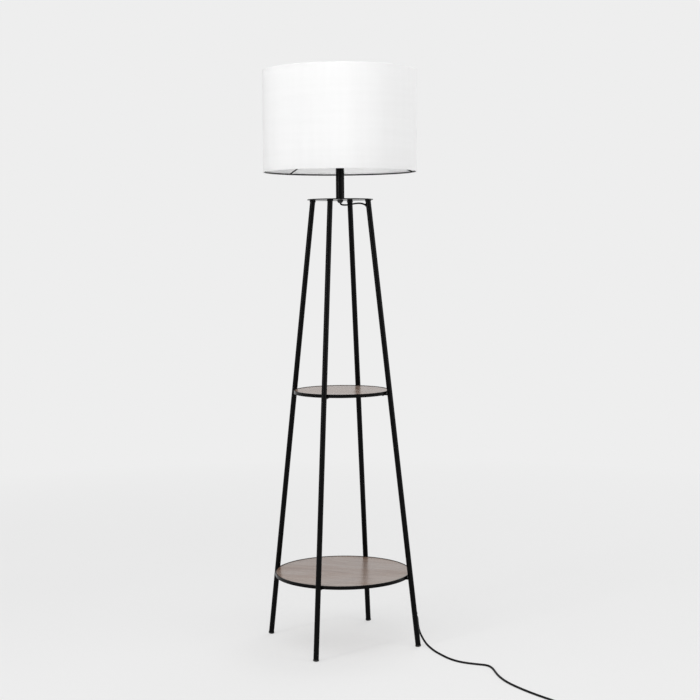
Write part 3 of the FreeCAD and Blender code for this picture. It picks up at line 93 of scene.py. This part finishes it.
class Material:
    """A node material: a Principled shader, and short calls that add nodes to it."""

    def __init__(self, name):
        self.data = bpy.data.materials.new(name)
        self.data.use_nodes = True
        self.tree = self.data.node_tree
        self.shader = self.tree.nodes["Principled BSDF"]
        self.place = self.add("TexCoord").outputs["Object"]

    def add(self, kind, **settings):
        made = self.tree.nodes.new("ShaderNode" + kind)
        for key, value in settings.items():
            setattr(made, key, value)
        return made

    def join(self, source, target):
        self.tree.links.new(source, target)

    def stretched(self, source, scale):
        mapping = self.add("Mapping")
        mapping.inputs["Scale"].default_value = scale
        self.join(source, mapping.inputs["Vector"])
        return mapping.outputs["Vector"]

    def noise(self, source, scale, detail=2.0, roughness=0.5, distortion=0.0, output="Fac"):
        made = self.add("TexNoise")
        made.inputs["Scale"].default_value = scale
        made.inputs["Detail"].default_value = detail
        made.inputs["Roughness"].default_value = roughness
        made.inputs["Distortion"].default_value = distortion
        self.join(source, made.inputs["Vector"])
        return made.outputs[output]

    def ramp(self, source, *stops):
        """A colour that follows a value, through pairs of a value and its colour."""
        made = self.add("ValToRGB")
        elements = made.color_ramp.elements
        while len(elements) < len(stops):
            elements.new(0.5)
        for element, (spot, colour) in zip(elements, stops):
            element.position = spot
            element.color = (*colour, 1.0)
        self.join(source, made.inputs["Fac"])
        return made.outputs["Color"]

    def span(self, source, low, high, from_low=0.0, from_high=1.0):
        """A value taken from one range to another, and held at its ends."""
        made = self.add("MapRange")
        made.inputs["From Min"].default_value = from_low
        made.inputs["From Max"].default_value = from_high
        made.inputs["To Min"].default_value = low
        made.inputs["To Max"].default_value = high
        self.join(source, made.inputs["Value"])
        return made.outputs["Result"]

    def math(self, operation, first, second=None):
        """One step of arithmetic. Its second value, if it has one, may be a plain number."""
        made = self.add("Math", operation=operation)
        self.join(first, made.inputs[0])
        if isinstance(second, float):
            made.inputs[1].default_value = second
        elif second is not None:
            self.join(second, made.inputs[1])
        return made.outputs["Value"]

    def mixed(self, factor, first, second):
        """A colour, taken towards a plain second one by a factor."""
        made = self.add("Mix", data_type="RGBA")
        under, over = (socket for socket in made.inputs if socket.type == "RGBA")
        self.join(factor, made.inputs["Factor"])
        self.join(first, under)
        over.default_value = (*second, 1.0)
        return next(socket for socket in made.outputs if socket.type == "RGBA")

    def bump(self, height, distance, strength, onto=None):
        made = self.add("Bump")
        made.inputs["Strength"].default_value = strength
        made.inputs["Distance"].default_value = distance
        self.join(height, made.inputs["Height"])
        if onto is not None:
            self.join(onto, made.inputs["Normal"])
        return made.outputs["Normal"]

    def finish(self, colour, roughness, normal=None, **values):
        """Join what was made to the shader and set its plain values. Returns the material."""
        self.join(colour, self.shader.inputs["Base Color"])
        self.join(roughness, self.shader.inputs["Roughness"])
        if normal is not None:
            self.join(normal, self.shader.inputs["Normal"])
        for key, value in values.items():
            self.shader.inputs[key.replace("_", " ")].default_value = value
        return self.data


# ---- materials ----


def powder_coat():
    """Satin black powder coat: faint orange peel, and dust-soft changes in gloss."""
    m = Material("black_powder_coat")
    broad = m.noise(m.place, 7.0, 3.0)
    peel = m.noise(m.place, 850.0, 2.0, 0.6)
    speck = m.noise(m.place, 2600.0, 1.0)
    colour = m.ramp(broad, (0.3, (0.0010, 0.0010, 0.0011)), (0.75, (0.0022, 0.0022, 0.0023)))
    roughness = m.span(m.noise(m.place, 60.0, 4.0), 0.18, 0.25)
    coarse = m.bump(peel, distance=0.00003, strength=0.3)
    normal = m.bump(speck, distance=0.00001, strength=0.2, onto=coarse)
    return m.finish(colour, roughness, normal, Specular_IOR_Level=0.07)


def black_oxide():
    """Chemically blackened steel, for the screws."""
    m = Material("black_oxide")
    cloud = m.noise(m.place, 180.0, 4.0)
    colour = m.ramp(cloud, (0.3, (0.012, 0.012, 0.013)), (0.7, (0.03, 0.029, 0.028)))
    roughness = m.span(m.noise(m.place, 420.0, 3.0), 0.3, 0.5)
    normal = m.bump(m.noise(m.place, 3000.0), distance=0.00003, strength=0.4)
    return m.finish(colour, roughness, normal, Metallic=0.6)


def zinc_plate():
    """Black-passivated zinc: the photo's nut and washer under the plate are black."""
    m = Material("black_zinc_plate")
    cloud = m.noise(m.place, 240.0, 5.0, 0.65)
    colour = m.ramp(cloud, (0.25, (0.022, 0.022, 0.023)), (0.75, (0.042, 0.041, 0.040)))
    roughness = m.span(cloud, 0.26, 0.42)
    normal = m.bump(m.noise(m.place, 2200.0), distance=0.00002, strength=0.4)
    return m.finish(colour, roughness, normal, Metallic=1.0)


def nickel_plate():
    """Bright nickel with fine turning marks across Z."""
    m = Material("nickel_plate")
    turned = m.noise(m.stretched(m.place, (300.0, 300.0, 4200.0)), 1.0, 2.0)
    colour = m.ramp(turned, (0.2, (0.62, 0.61, 0.59)), (0.8, (0.76, 0.75, 0.73)))
    roughness = m.span(turned, 0.14, 0.26)
    normal = m.bump(turned, distance=0.00001, strength=0.3)
    return m.finish(colour, roughness, normal, Metallic=1.0)


def sheet_brass():
    m = Material("sheet_brass")
    cloud = m.noise(m.place, 160.0, 4.0, 0.6)
    colour = m.ramp(cloud, (0.2, (0.58, 0.41, 0.17)), (0.8, (0.78, 0.6, 0.29)))
    roughness = m.span(cloud, 0.2, 0.36)
    normal = m.bump(m.noise(m.place, 2600.0), distance=0.00001, strength=0.4)
    return m.finish(colour, roughness, normal, Metallic=1.0)


def moulded(name, dark, light, rough, grain=1500.0, depth=0.00006, gloss=0.35):
    """A moulded plastic or rubber with a spark-eroded grain."""
    m = Material(name)
    colour = m.ramp(m.noise(m.place, 40.0, 3.0), (0.3, dark), (0.7, light))
    roughness = m.span(m.noise(m.place, 130.0, 3.0), *rough)
    normal = m.bump(m.noise(m.place, grain, 2.0, 0.7), distance=depth, strength=0.6)
    return m.finish(colour, roughness, normal, Specular_IOR_Level=gloss)


def glazed_ceramic():
    m = Material("glazed_ceramic")
    cloud = m.noise(m.place, 90.0, 4.0)
    colour = m.ramp(cloud, (0.3, (0.74, 0.72, 0.67)), (0.75, (0.84, 0.82, 0.77)))
    roughness = m.span(m.noise(m.place, 300.0), 0.12, 0.24)
    normal = m.bump(m.noise(m.place, 500.0), distance=0.00004, strength=0.3)
    return m.finish(colour, roughness, normal, Coat_Weight=0.5)


def opal_glass():
    """A white-frosted bulb: the powder inside lets a little light in."""
    m = Material("opal_glass")
    cloud = m.noise(m.place, 55.0, 3.0)
    colour = m.ramp(cloud, (0.3, (0.86, 0.86, 0.85)), (0.7, (0.92, 0.92, 0.91)))
    return m.finish(
        colour,
        m.span(m.noise(m.place, 200.0), 0.16, 0.26),
        m.bump(m.noise(m.place, 1200.0), distance=0.00001, strength=0.3),
        Subsurface_Weight=0.35,
        Subsurface_Radius=(0.006, 0.006, 0.006),
        Coat_Weight=0.35,
        Coat_Roughness=0.08,
    )


GRAIN_SWAY = 0.05


def shelf_wood():
    """Grey-brown wood-grain laminate, its grain along X, with a satin film."""
    m = Material("shelf_wood")
    sway = m.add("VectorMath", operation="MULTIPLY_ADD")
    m.join(m.noise(m.place, 3.2, output="Color"), sway.inputs[0])
    sway.inputs[1].default_value = (0.0, GRAIN_SWAY, 0.0)
    sway.inputs[2].default_value = (0.0, -GRAIN_SWAY / 2, 0.0)
    bent = m.add("VectorMath", operation="ADD")
    m.join(m.place, bent.inputs[0])
    m.join(sway.outputs["Vector"], bent.inputs[1])
    line = bent.outputs["Vector"]
    board = m.noise(m.stretched(line, (4.5, 13.0, 2.0)), 1.0, 3.0, 0.55, 0.4)
    cathedral = m.noise(m.stretched(line, (2.2, 26.0, 6.0)), 1.0, 4.0, 0.55, 0.6)
    streak = m.noise(m.stretched(line, (3.0, 110.0, 20.0)), 1.0, 5.0, 0.6)
    fibre = m.noise(m.stretched(line, (14.0, 900.0, 60.0)), 1.0, 3.0, 0.6)
    pores = m.noise(m.stretched(line, (55.0, 1700.0, 80.0)), 1.0, 2.0, 0.4)
    base = m.ramp(
        cathedral,
        (0.28, (0.130, 0.068, 0.042)),
        (0.44, (0.200, 0.128, 0.092)),
        (0.58, (0.240, 0.168, 0.129)),
        (0.74, (0.275, 0.209, 0.174)),
    )
    greyed = m.mixed(m.span(board, 0.0, 0.85, 0.40, 0.62), base, (0.270, 0.216, 0.188))
    streaked = m.mixed(m.span(streak, 0.42, 0.0, 0.32, 0.50), greyed, (0.150, 0.090, 0.062))
    grained = m.mixed(m.span(fibre, 0.30, 0.0, 0.30, 0.55), streaked, (0.170, 0.118, 0.092))
    colour = m.mixed(m.span(pores, 0.5, 0.0, 0.26, 0.36), grained, (0.07, 0.048, 0.038))
    roughness = m.span(fibre, 0.20, 0.32)
    deep = m.bump(pores, distance=0.0001, strength=0.35)
    normal = m.bump(fibre, distance=0.00006, strength=0.3, onto=deep)
    return m.finish(colour, roughness, normal, Specular_IOR_Level=0.37)


def cord_sheath():
    """Black PVC, a little duller than the powder coat."""
    m = Material("cord_sheath")
    cloud = m.noise(m.place, 70.0, 3.0)
    colour = m.ramp(cloud, (0.3, (0.0014, 0.0014, 0.0015)), (0.7, (0.0034, 0.0034, 0.0036)))
    roughness = m.span(m.noise(m.place, 160.0, 3.0), 0.36, 0.52)
    normal = m.bump(m.noise(m.place, 1900.0), distance=0.00003, strength=0.3)
    return m.finish(colour, roughness, normal, Specular_IOR_Level=0.12)


THREAD_PITCH = 0.0009
THREAD_WANDER = 0.0006
CLOTH_MAP = "cloth"


def linen():
    """White linen weave. The mesh's UV map is its arc length and height in metres."""
    m = Material("white_linen")
    flat = m.add("UVMap", uv_map=CLOTH_MAP).outputs["UV"]
    warp_slub = m.noise(m.stretched(flat, (60.0, 2.5, 1.0)), 1.0, 3.0)
    weft_slub = m.noise(m.stretched(flat, (3.0, 75.0, 1.0)), 1.0, 3.0)
    parts = m.add("SeparateXYZ")
    m.join(flat, parts.inputs["Vector"])

    def threads(across, slub):
        wandering = m.math("ADD", across, m.math("MULTIPLY", slub, THREAD_WANDER))
        return m.math("SINE", m.math("MULTIPLY", wandering, 2 * math.pi / THREAD_PITCH))

    warp = threads(parts.outputs["X"], warp_slub)
    weft = threads(parts.outputs["Y"], weft_slub)
    weave = m.math("MULTIPLY", warp, weft)
    slubs = m.math("ADD", warp_slub, weft_slub)
    height = m.math("ADD", m.math("MULTIPLY", weave, 0.5), m.math("MULTIPLY", slubs, 0.6))
    tone = m.math("MULTIPLY", slubs, 0.5)
    return m.finish(
        m.ramp(tone, (0.32, (0.915, 0.915, 0.912)), (0.68, (0.945, 0.945, 0.943))),
        m.span(weave, 0.82, 0.95, -1.0, 1.0),
        m.bump(height, distance=0.00022, strength=0.55),
        Subsurface_Weight=1.0,
        Subsurface_Radius=(0.012, 0.012, 0.012),
        Sheen_Weight=0.1,
        Specular_IOR_Level=0.25,
    )


LOOKS = {
    "black_steel": powder_coat(),
    "black_screws": black_oxide(),
    "zinc_steel": zinc_plate(),
    "black_rubber": moulded(
        "black_rubber", grey(0.006), grey(0.012), rough=(0.6, 0.78), grain=1100.0, depth=0.0001
    ),
    "shelf_wood": shelf_wood(),
    "shade_fabric": linen(),
    "dark_wire": moulded(
        "dark_wire_enamel",
        grey(0.004),
        grey(0.009),
        rough=(0.32, 0.5),
        grain=1900.0,
        depth=0.00003,
        gloss=0.25,
    ),
    "black_plastic": moulded(
        "black_plastic", (0.006, 0.006, 0.0065), grey(0.012), rough=(0.38, 0.52)
    ),
    "switch_plastic": moulded("switch_plastic", grey(0.012), grey(0.024), rough=(0.42, 0.56)),
    "button_plastic": moulded(
        "button_plastic", grey(0.016), grey(0.028), rough=(0.22, 0.32), grain=2600.0, depth=0.00002
    ),
    "white_ceramic": glazed_ceramic(),
    "brass": sheet_brass(),
    "nickel": nickel_plate(),
    "opal_glass": opal_glass(),
    "cord_sheath": cord_sheath(),
}


def dress(piece, slot):
    """Give a piece the look of one of the record's slots."""
    if not piece.material_slots:
        piece.data.materials.append(LOOKS[slot])
    for entry in piece.material_slots:
        entry.material = LOOKS[slot]


for part in frame["record"]["subparts"]:
    dress(nodes[part["node"]], part["material_slot"])


# ---- building pieces ----


def mesh_piece(name, verts, faces, slot):
    """A smooth piece that rides on the lamp, with the look of a slot."""
    mesh = bpy.data.meshes.new(name)
    mesh.from_pydata([tuple(v) for v in verts], [], faces)
    mesh.validate()
    piece = bpy.data.objects.new(name, mesh)
    scene.collection.objects.link(piece)
    for face in mesh.polygons:
        face.use_smooth = True
    dress(piece, slot)
    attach(piece, "lamp")
    return piece


def share_between(value, low, high):
    """How far a value is on its way from low to high, held from 0 to 1."""
    return min(1.0, max(0.0, (value - low) / (high - low)))


# ---- cords ----

CORD_WIDTH = 0.0056
CORD_THICKNESS = 0.0030
LINE_RESOLUTION = 8
# Each core's round side is drawn with so many points, so far apart.
CORE_POINTS = 9
CORE_STEP_DEGREES = 27
# The cord's half thickness at the groove, as a share of a core's radius.
GROOVE_SHARE = 0.72
# Below the first of these slopes the cord's side is level, and above the second it is
# carried on from the stretch before. A side shorter than the last gives no direction.
LEVEL_SLOPE = 0.25
STEEP_SLOPE = 0.60
SHORTEST_SIDE = 1e-6
# How far the loop under the plate and the floor cord are turned about their own lines,
# and over which share of a line, from each end, the turn comes in.
HELD_ROLL = math.radians(30)
FLOOR_ROLL = math.radians(48)
ROLL_STARTS = 0.12
ROLL_FULL = 0.26


def spline_line(name, points):
    """The points of a smooth NURBS line through a route's control points."""
    data = bpy.data.curves.new(name, "CURVE")
    data.dimensions = "3D"
    spline = data.splines.new("NURBS")
    spline.points.add(len(points) - 1)
    for spot, point in zip(spline.points, points):
        spot.co = (*point, 1.0)
    spline.order_u = 3
    spline.use_endpoint_u = True
    spline.resolution_u = LINE_RESOLUTION
    holder = bpy.data.objects.new(name, data)
    mesh = bpy.data.meshes.new_from_object(holder)
    line = [v.co.copy() for v in mesh.vertices]
    bpy.data.objects.remove(holder)
    bpy.data.curves.remove(data)
    bpy.data.meshes.remove(mesh)
    return line


def twin_section():
    """The twin cord's outline: two round cores joined by a web with a groove on each side."""
    core = CORD_THICKNESS / 2
    apart = CORD_WIDTH / 2 - core
    outline = []
    for way in (1.0, -1.0):
        for step in range(CORE_POINTS):
            turn = math.radians(CORE_STEP_DEGREES * (step - (CORE_POINTS - 1) / 2))
            outline.append((way * (apart + core * math.cos(turn)), way * core * math.sin(turn)))
        outline.append((0.0, way * core * GROOVE_SHARE))
    return outline


def side_vectors(line, headings, flat_side):
    """The level side of a cord that lies flat, carried smoothly along its steep stretches."""
    sides = [None] * len(line)
    side = flat_side
    for at in range(len(line) - 1, -1, -1):
        heading = headings[at]
        level = UP.cross(heading)
        carried = (side - heading * side.dot(heading)).normalized()
        steepness = share_between(abs(heading.z), LEVEL_SLOPE, STEEP_SLOPE)
        if level.length > SHORTEST_SIDE:
            level.normalize()
            if level.dot(carried) < 0:
                level = -level
            side = (level * (1 - steepness) + carried * steepness).normalized()
        else:
            side = carried
        sides[at] = side
    return sides


def rolled(side, heading, share, roll):
    """The cord's side, turned about its heading along the middle of its line only."""
    reach = share_between(min(share, 1.0 - share), ROLL_STARTS, ROLL_FULL)
    turn = roll * reach * reach * (3.0 - 2.0 * reach)
    return side * math.cos(turn) + heading.cross(side) * math.sin(turn)


def twin_cord(name, points, flat_side, roll=0.0):
    """A flat two-core cord along a smooth route. Returns the piece and the line it follows."""
    line = spline_line(name + "_route", points)
    last = len(line) - 1
    headings = []
    for at in range(len(line)):
        before = line[max(at - 1, 0)]
        after = line[min(at + 1, last)]
        headings.append((after - before).normalized())
    sides = [
        rolled(side, heading, at / last, roll)
        for at, (side, heading) in enumerate(zip(side_vectors(line, headings, flat_side), headings))
    ]
    outline = twin_section()
    count = len(outline)
    verts = []
    for spot, heading, side in zip(line, headings, sides):
        thick = heading.cross(side)
        verts += [spot + side * x + thick * y for x, y in outline]
    faces = []
    for ring in range(last):
        low, high = ring * count, (ring + 1) * count
        for at in range(count):
            after = (at + 1) % count
            faces.append((low + at, low + after, high + after, high + at))
    faces.append(tuple(range(count))[::-1])
    faces.append(tuple(range(last * count, (last + 1) * count)))
    piece = mesh_piece(name, verts, faces, "cord_sheath")
    return piece, line


# From the holder down the stem, round the loop under the plate and down the leg.
HELD_ROUTE = [
    (0.0, 0.0, 1.2840),
    (0.0, 0.0, 1.1700),
    (0.0, 0.0, 1.1628),
    (0.0003, 0.0, 1.1588),
    (0.0055, 0.0, 1.1546),
    (0.0240, 0.0, 1.1549),
    (0.0420, 0.0, 1.1586),
    (0.0590, 0.0, 1.1586),
    (0.0700, 0.0, 1.1540),
    (0.0784, 0.0, 1.1480),
    (0.0800, 0.0, 1.1370),
    (0.1374, 0.0, 0.6270),
    (0.1956, 0.0, 0.1100),
    (0.1974, 0.0010, 0.0940),
    (0.1987, 0.0103, 0.0828),
]
HELD_SIDE = Vector((0, 1, 0))
# From the outlet low on the leg, along the floor and round to the switch.
FLOOR_ROUTE = [
    (0.19868, 0.01025, 0.08277),
    (0.19979, 0.02015, 0.07293),
    (0.1990, 0.0260, 0.0595),
    (0.2000, 0.0275, 0.0455),
    (0.2043, 0.0262, 0.0315),
    (0.2138, 0.0203, 0.0180),
    (0.2251, 0.0110, 0.0082),
    (0.2361, -0.0008, 0.0042),
    (0.2472, -0.0139, 0.0028),
    (0.2626, -0.0350, 0.0026),
    (0.2866, -0.0606, 0.0026),
    (0.3170, -0.0898, 0.0026),
    (0.3518, -0.1090, 0.0026),
    (0.3925, -0.1132, 0.0026),
    (0.4195, -0.1125, 0.0026),
    (0.4352, -0.1268, 0.0026),
    (0.4475, -0.1495, 0.0026),
    (0.4600, -0.1760, 0.0026),
    (0.4765, -0.2040, 0.0026),
    (0.5020, -0.2370, 0.0026),
    (0.5450, -0.2755, 0.0026),
    (0.5900, -0.3090, 0.0026),
    (0.6255, -0.3316, 0.0026),
    (0.6557, -0.3505, 0.0026),
    (0.6750, -0.3765, 0.0019),
    (0.6745, -0.4075, 0.0024),
    (0.6555, -0.4300, 0.0054),
    (0.63174, -0.44194, 0.0070),
    (0.61664, -0.44723, 0.0070),
]
FLOOR_SIDE = Vector((0.33, -0.94, 0))
SWITCH_EXIT = Vector((0.50716, -0.48557, 0.0070))
SWITCH_HEADING = Vector((-0.94380, -0.33051, 0.0))
COIL_INWARD = Vector((-0.33051, 0.94380, 0.0))
COIL_START = Vector((0.4544, -0.5041, 0.0))
LOWER_LAYER = 0.0017
UPPER_LAYER = 0.0048
# Where each half turn begins and ends, across the coil, and at which layer's height.
COIL_STATIONS = [0.0, 0.072, 0.0061, 0.0659, 0.0122, 0.0598, 0.0183, 0.0659, 0.0122, 0.072, 0.0061]
COIL_HEIGHTS = [LOWER_LAYER] * 6 + [UPPER_LAYER] * 5
POINTS_PER_HALF_TURN = 8


def coil_route():
    """Control points of a flat two-layer coil: in along the floor, up a layer and out again."""
    points = []
    step = math.pi / POINTS_PER_HALF_TURN
    # Nearest to a control point the line takes 6 parts of that point and 1 of each
    # neighbour, so it runs inside them all and they have to lie further out.
    swell = 8 / (6 + 2 * math.cos(step))
    for turn in range(len(COIL_STATIONS) - 1):
        first, last = COIL_STATIONS[turn : turn + 2]
        low, high = COIL_HEIGHTS[turn : turn + 2]
        middle, radius = (first + last) / 2, (first - last) / 2
        way = 1 if turn % 2 == 0 else -1
        for at in range(POINTS_PER_HALF_TURN):
            angle = (at + 0.5) * step
            across = middle + radius * swell * math.cos(angle)
            along = abs(radius) * swell * math.sin(angle) * way
            height = low + (high - low) * (at + 0.5) / POINTS_PER_HALF_TURN
            points.append(COIL_START + COIL_INWARD * across + SWITCH_HEADING * along + UP * height)
    return points


SLEEVE_REACH = 0.012
PLUG_TIP = Vector((0.3512, -0.5179, 0.00685))
PLUG_HEADING = Vector((-0.99731, -0.07324, 0.0))
PLUG_REACH = 0.015
# From the switch through the coil to the plug.
LEAD_ROUTE = [
    SWITCH_EXIT,
    SWITCH_EXIT + SWITCH_HEADING * SLEEVE_REACH,
    (0.4835, -0.4952, 0.0040),
    (0.4710, -0.4983, 0.0018),
    *coil_route(),
    (0.4471, -0.5002, UPPER_LAYER),
    (0.4339, -0.5048, UPPER_LAYER),
    (0.4175, -0.5109, 0.0040),
    (0.4015, -0.5144, 0.0022),
    (0.3845, -0.5154, 0.0030),
    PLUG_TIP - PLUG_HEADING * PLUG_REACH,
    PLUG_TIP,
]
LEAD_SIDE = Vector((0.07, -0.99, 0))

held_flex, held_line = twin_cord("held_twin_flex", HELD_ROUTE, HELD_SIDE, HELD_ROLL)
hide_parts("held_flex", "outlet_flex")
floor_flex, floor_line = twin_cord("floor_twin_flex", FLOOR_ROUTE, FLOOR_SIDE, FLOOR_ROLL)
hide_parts("floor_cord")
lead_flex, lead_line = twin_cord("plug_twin_flex", LEAD_ROUTE, LEAD_SIDE)
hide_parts("switch_lead", "cord_coil", "plug_lead")


# ---- shade ----

SHADE_RADIUS = 0.2000
SHADE_WALL = 0.0010
SHADE_STEPS = 320
HEM_HEIGHT = 0.009
HEM_FOLD = 0.0003
# The cloth lies this far inside the CAD's radius, to make room for its lap and ripples.
CLOTH_SETBACK = 0.0003
CLOTH_LAP = 0.012
SEAM_ANGLE = math.radians(118.0)
SEAM_RISE = 0.0003
# The height, the count round the drum and the start of each slight wave in the cloth.
RIPPLES = ((0.00012, 7, 0.6), (0.00008, 17, 0.0))


def shade_profile(low, high):
    """The cover's outline, from the inner hem round the foot, up the outside and back down."""
    r, w = SHADE_RADIUS, SHADE_WALL
    hem, fold = HEM_HEIGHT, HEM_FOLD
    return [
        (r - w, high - hem),
        (r - w, low + hem),
        (r - w - fold, low + hem - fold),
        (r - w - fold, low + fold),
        (r - w / 2, low),
        (r - fold / 2, low + fold * 1.5),
        (r, low + fold * 4),
        (r, low + (high - low) * 0.25),
        (r, low + (high - low) * 0.5),
        (r, low + (high - low) * 0.75),
        (r, high - fold * 4),
        (r - fold / 2, high - fold * 1.5),
        (r - w / 2, high),
        (r - w - fold, high - fold),
        (r - w - fold, high - hem + fold),
    ]


def shade_cover():
    """The cloth drum with its hems, the lap of its seam and a slight ripple."""
    low, high = (corner.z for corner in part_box("shade_cover"))
    profile = shade_profile(low, high)
    count = len(profile)
    verts = []
    for turn in range(SHADE_STEPS):
        angle = 2 * math.pi * turn / SHADE_STEPS
        away = (angle - SEAM_ANGLE + math.pi) % (2 * math.pi) - math.pi
        lap = SEAM_RISE if abs(away) * SHADE_RADIUS < CLOTH_LAP / 2 else 0.0
        ripple = sum(size * math.sin(angle * waves + start) for size, waves, start in RIPPLES)
        for radius, height in profile:
            outside = radius > SHADE_RADIUS - SHADE_WALL / 4
            out = radius - CLOTH_SETBACK + (lap + ripple if outside else 0.0)
            verts.append((out * math.cos(angle), out * math.sin(angle), height))
    faces = []
    for turn in range(SHADE_STEPS):
        here = turn * count
        there = (turn + 1) % SHADE_STEPS * count
        for at in range(count):
            up = (at + 1) % count
            faces.append((here + at, there + at, there + up, here + up))
    piece = mesh_piece("shade_linen_drum", verts, faces, "shade_fabric")
    mesh = piece.data
    layer = mesh.uv_layers.new(name=CLOTH_MAP)
    for face in mesh.polygons:
        turns = [mesh.loops[corner].vertex_index // count for corner in face.loop_indices]
        wrapped = max(turns) - min(turns) > 1
        for corner, turn in zip(face.loop_indices, turns):
            spot = mesh.vertices[mesh.loops[corner].vertex_index].co
            step = turn + SHADE_STEPS if wrapped and turn == 0 else turn
            layer.data[corner].uv = (2 * math.pi * SHADE_RADIUS * step / SHADE_STEPS, spot.z)
    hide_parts("shade_cover")


shade_cover()


# ---- stage and light ----

BACKDROP = grey(0.855)
FLOOR_RADIUS = 14.0
FLOOR_SIDES = 96
# The floor shows the backdrop's colour by this share near the lamp, and wholly far away.
NEAR_SHARE = 0.65
FADE_STARTS = 1.0
FADE_ENDS = 3.2
AMBIENT = grey(0.82)
AMBIENT_STRENGTH = 0.48
# Each light's name, place, aim, width and height, and power in watts.
LIGHTS = (
    ("key_softbox", (-1.75, -3.25, 1.9), (0.0, 0.0, 0.8), (0.4, 2.4), 38.0),
    ("fill_softbox", (3.7, -0.6, 1.8), (0.0, 0.0, 0.8), (2.0, 2.6), 40.0),
    ("top_softbox", (0.1, -1.7, 3.9), (0.0, 0.0, 0.4), (3.4, 3.0), 61.0),
    ("rear_softbox", (0.5, 2.9, 3.4), (0.0, 0.0, 0.9), (2.6, 2.2), 46.0),
)


def shown_rays(tree):
    """1 for the rays that see the backdrop: the camera's, reflections and those through glass."""
    seen = tree.nodes.new("ShaderNodeLightPath")
    total = seen.outputs["Is Camera Ray"]
    for kind in ("Is Glossy Ray", "Is Transmission Ray"):
        added = tree.nodes.new("ShaderNodeMath")
        added.operation = "MAXIMUM"
        tree.links.new(total, added.inputs[0])
        tree.links.new(seen.outputs[kind], added.inputs[1])
        total = added.outputs["Value"]
    return total


def pale_floor():
    """A wide round floor that keeps the lamp's shadow and fades into the backdrop."""
    turns = [2 * math.pi * at / FLOOR_SIDES for at in range(FLOOR_SIDES)]
    rim = [(FLOOR_RADIUS * math.cos(a), FLOOR_RADIUS * math.sin(a), 0.0) for a in turns]
    mesh = bpy.data.meshes.new("studio_floor")
    mesh.from_pydata(rim, [], [tuple(range(FLOOR_SIDES))])
    floor = bpy.data.objects.new("studio_floor", mesh)
    scene.collection.objects.link(floor)
    m = Material("studio_paper")
    tone = m.ramp(m.noise(m.place, 0.6), (0.3, grey(0.80)), (0.7, grey(0.83)))
    m.finish(tone, m.span(m.noise(m.place, 40.0), 0.8, 0.95), Specular_IOR_Level=0.1)
    glow = m.add("Emission")
    glow.inputs["Color"].default_value = (*BACKDROP, 1.0)
    away = m.add("VectorMath", operation="LENGTH")
    m.join(m.place, away.inputs[0])
    share = m.span(away.outputs["Value"], NEAR_SHARE, 1.0, FADE_STARTS, FADE_ENDS)
    mix = m.add("MixShader")
    m.join(m.math("MULTIPLY", shown_rays(m.tree), share), mix.inputs["Fac"])
    m.join(m.shader.outputs["BSDF"], mix.inputs[1])
    m.join(glow.outputs["Emission"], mix.inputs[2])
    m.join(mix.outputs["Shader"], m.tree.nodes["Material Output"].inputs["Surface"])
    mesh.materials.append(m.data)


def soft_light(name, spot, target, size, power):
    """A rectangular area light that the camera doesn't see."""
    data = bpy.data.lights.new(name, "AREA")
    data.shape = "RECTANGLE"
    data.size, data.size_y = size
    data.energy = power
    light = bpy.data.objects.new(name, data)
    scene.collection.objects.link(light)
    light.location = spot
    light.rotation_euler = (Vector(target) - Vector(spot)).to_track_quat("-Z", "Y").to_euler()
    light.visible_camera = False


def studio_world():
    """Soft light from all round. The backdrop is as pale as the far floor."""
    world = bpy.data.worlds.new("studio")
    scene.world = world
    world.use_nodes = True
    tree = world.node_tree
    ambient = tree.nodes["Background"]
    ambient.inputs["Color"].default_value = (*AMBIENT, 1.0)
    ambient.inputs["Strength"].default_value = AMBIENT_STRENGTH
    backdrop = tree.nodes.new("ShaderNodeBackground")
    backdrop.inputs["Color"].default_value = (*BACKDROP, 1.0)
    mix = tree.nodes.new("ShaderNodeMixShader")
    tree.links.new(shown_rays(tree), mix.inputs["Fac"])
    tree.links.new(ambient.outputs["Background"], mix.inputs[1])
    tree.links.new(backdrop.outputs["Background"], mix.inputs[2])
    tree.links.new(mix.outputs["Shader"], tree.nodes["World Output"].inputs["Surface"])


pale_floor()
for light in LIGHTS:
    soft_light(*light)
studio_world()

scene.view_settings.view_transform = "Standard"
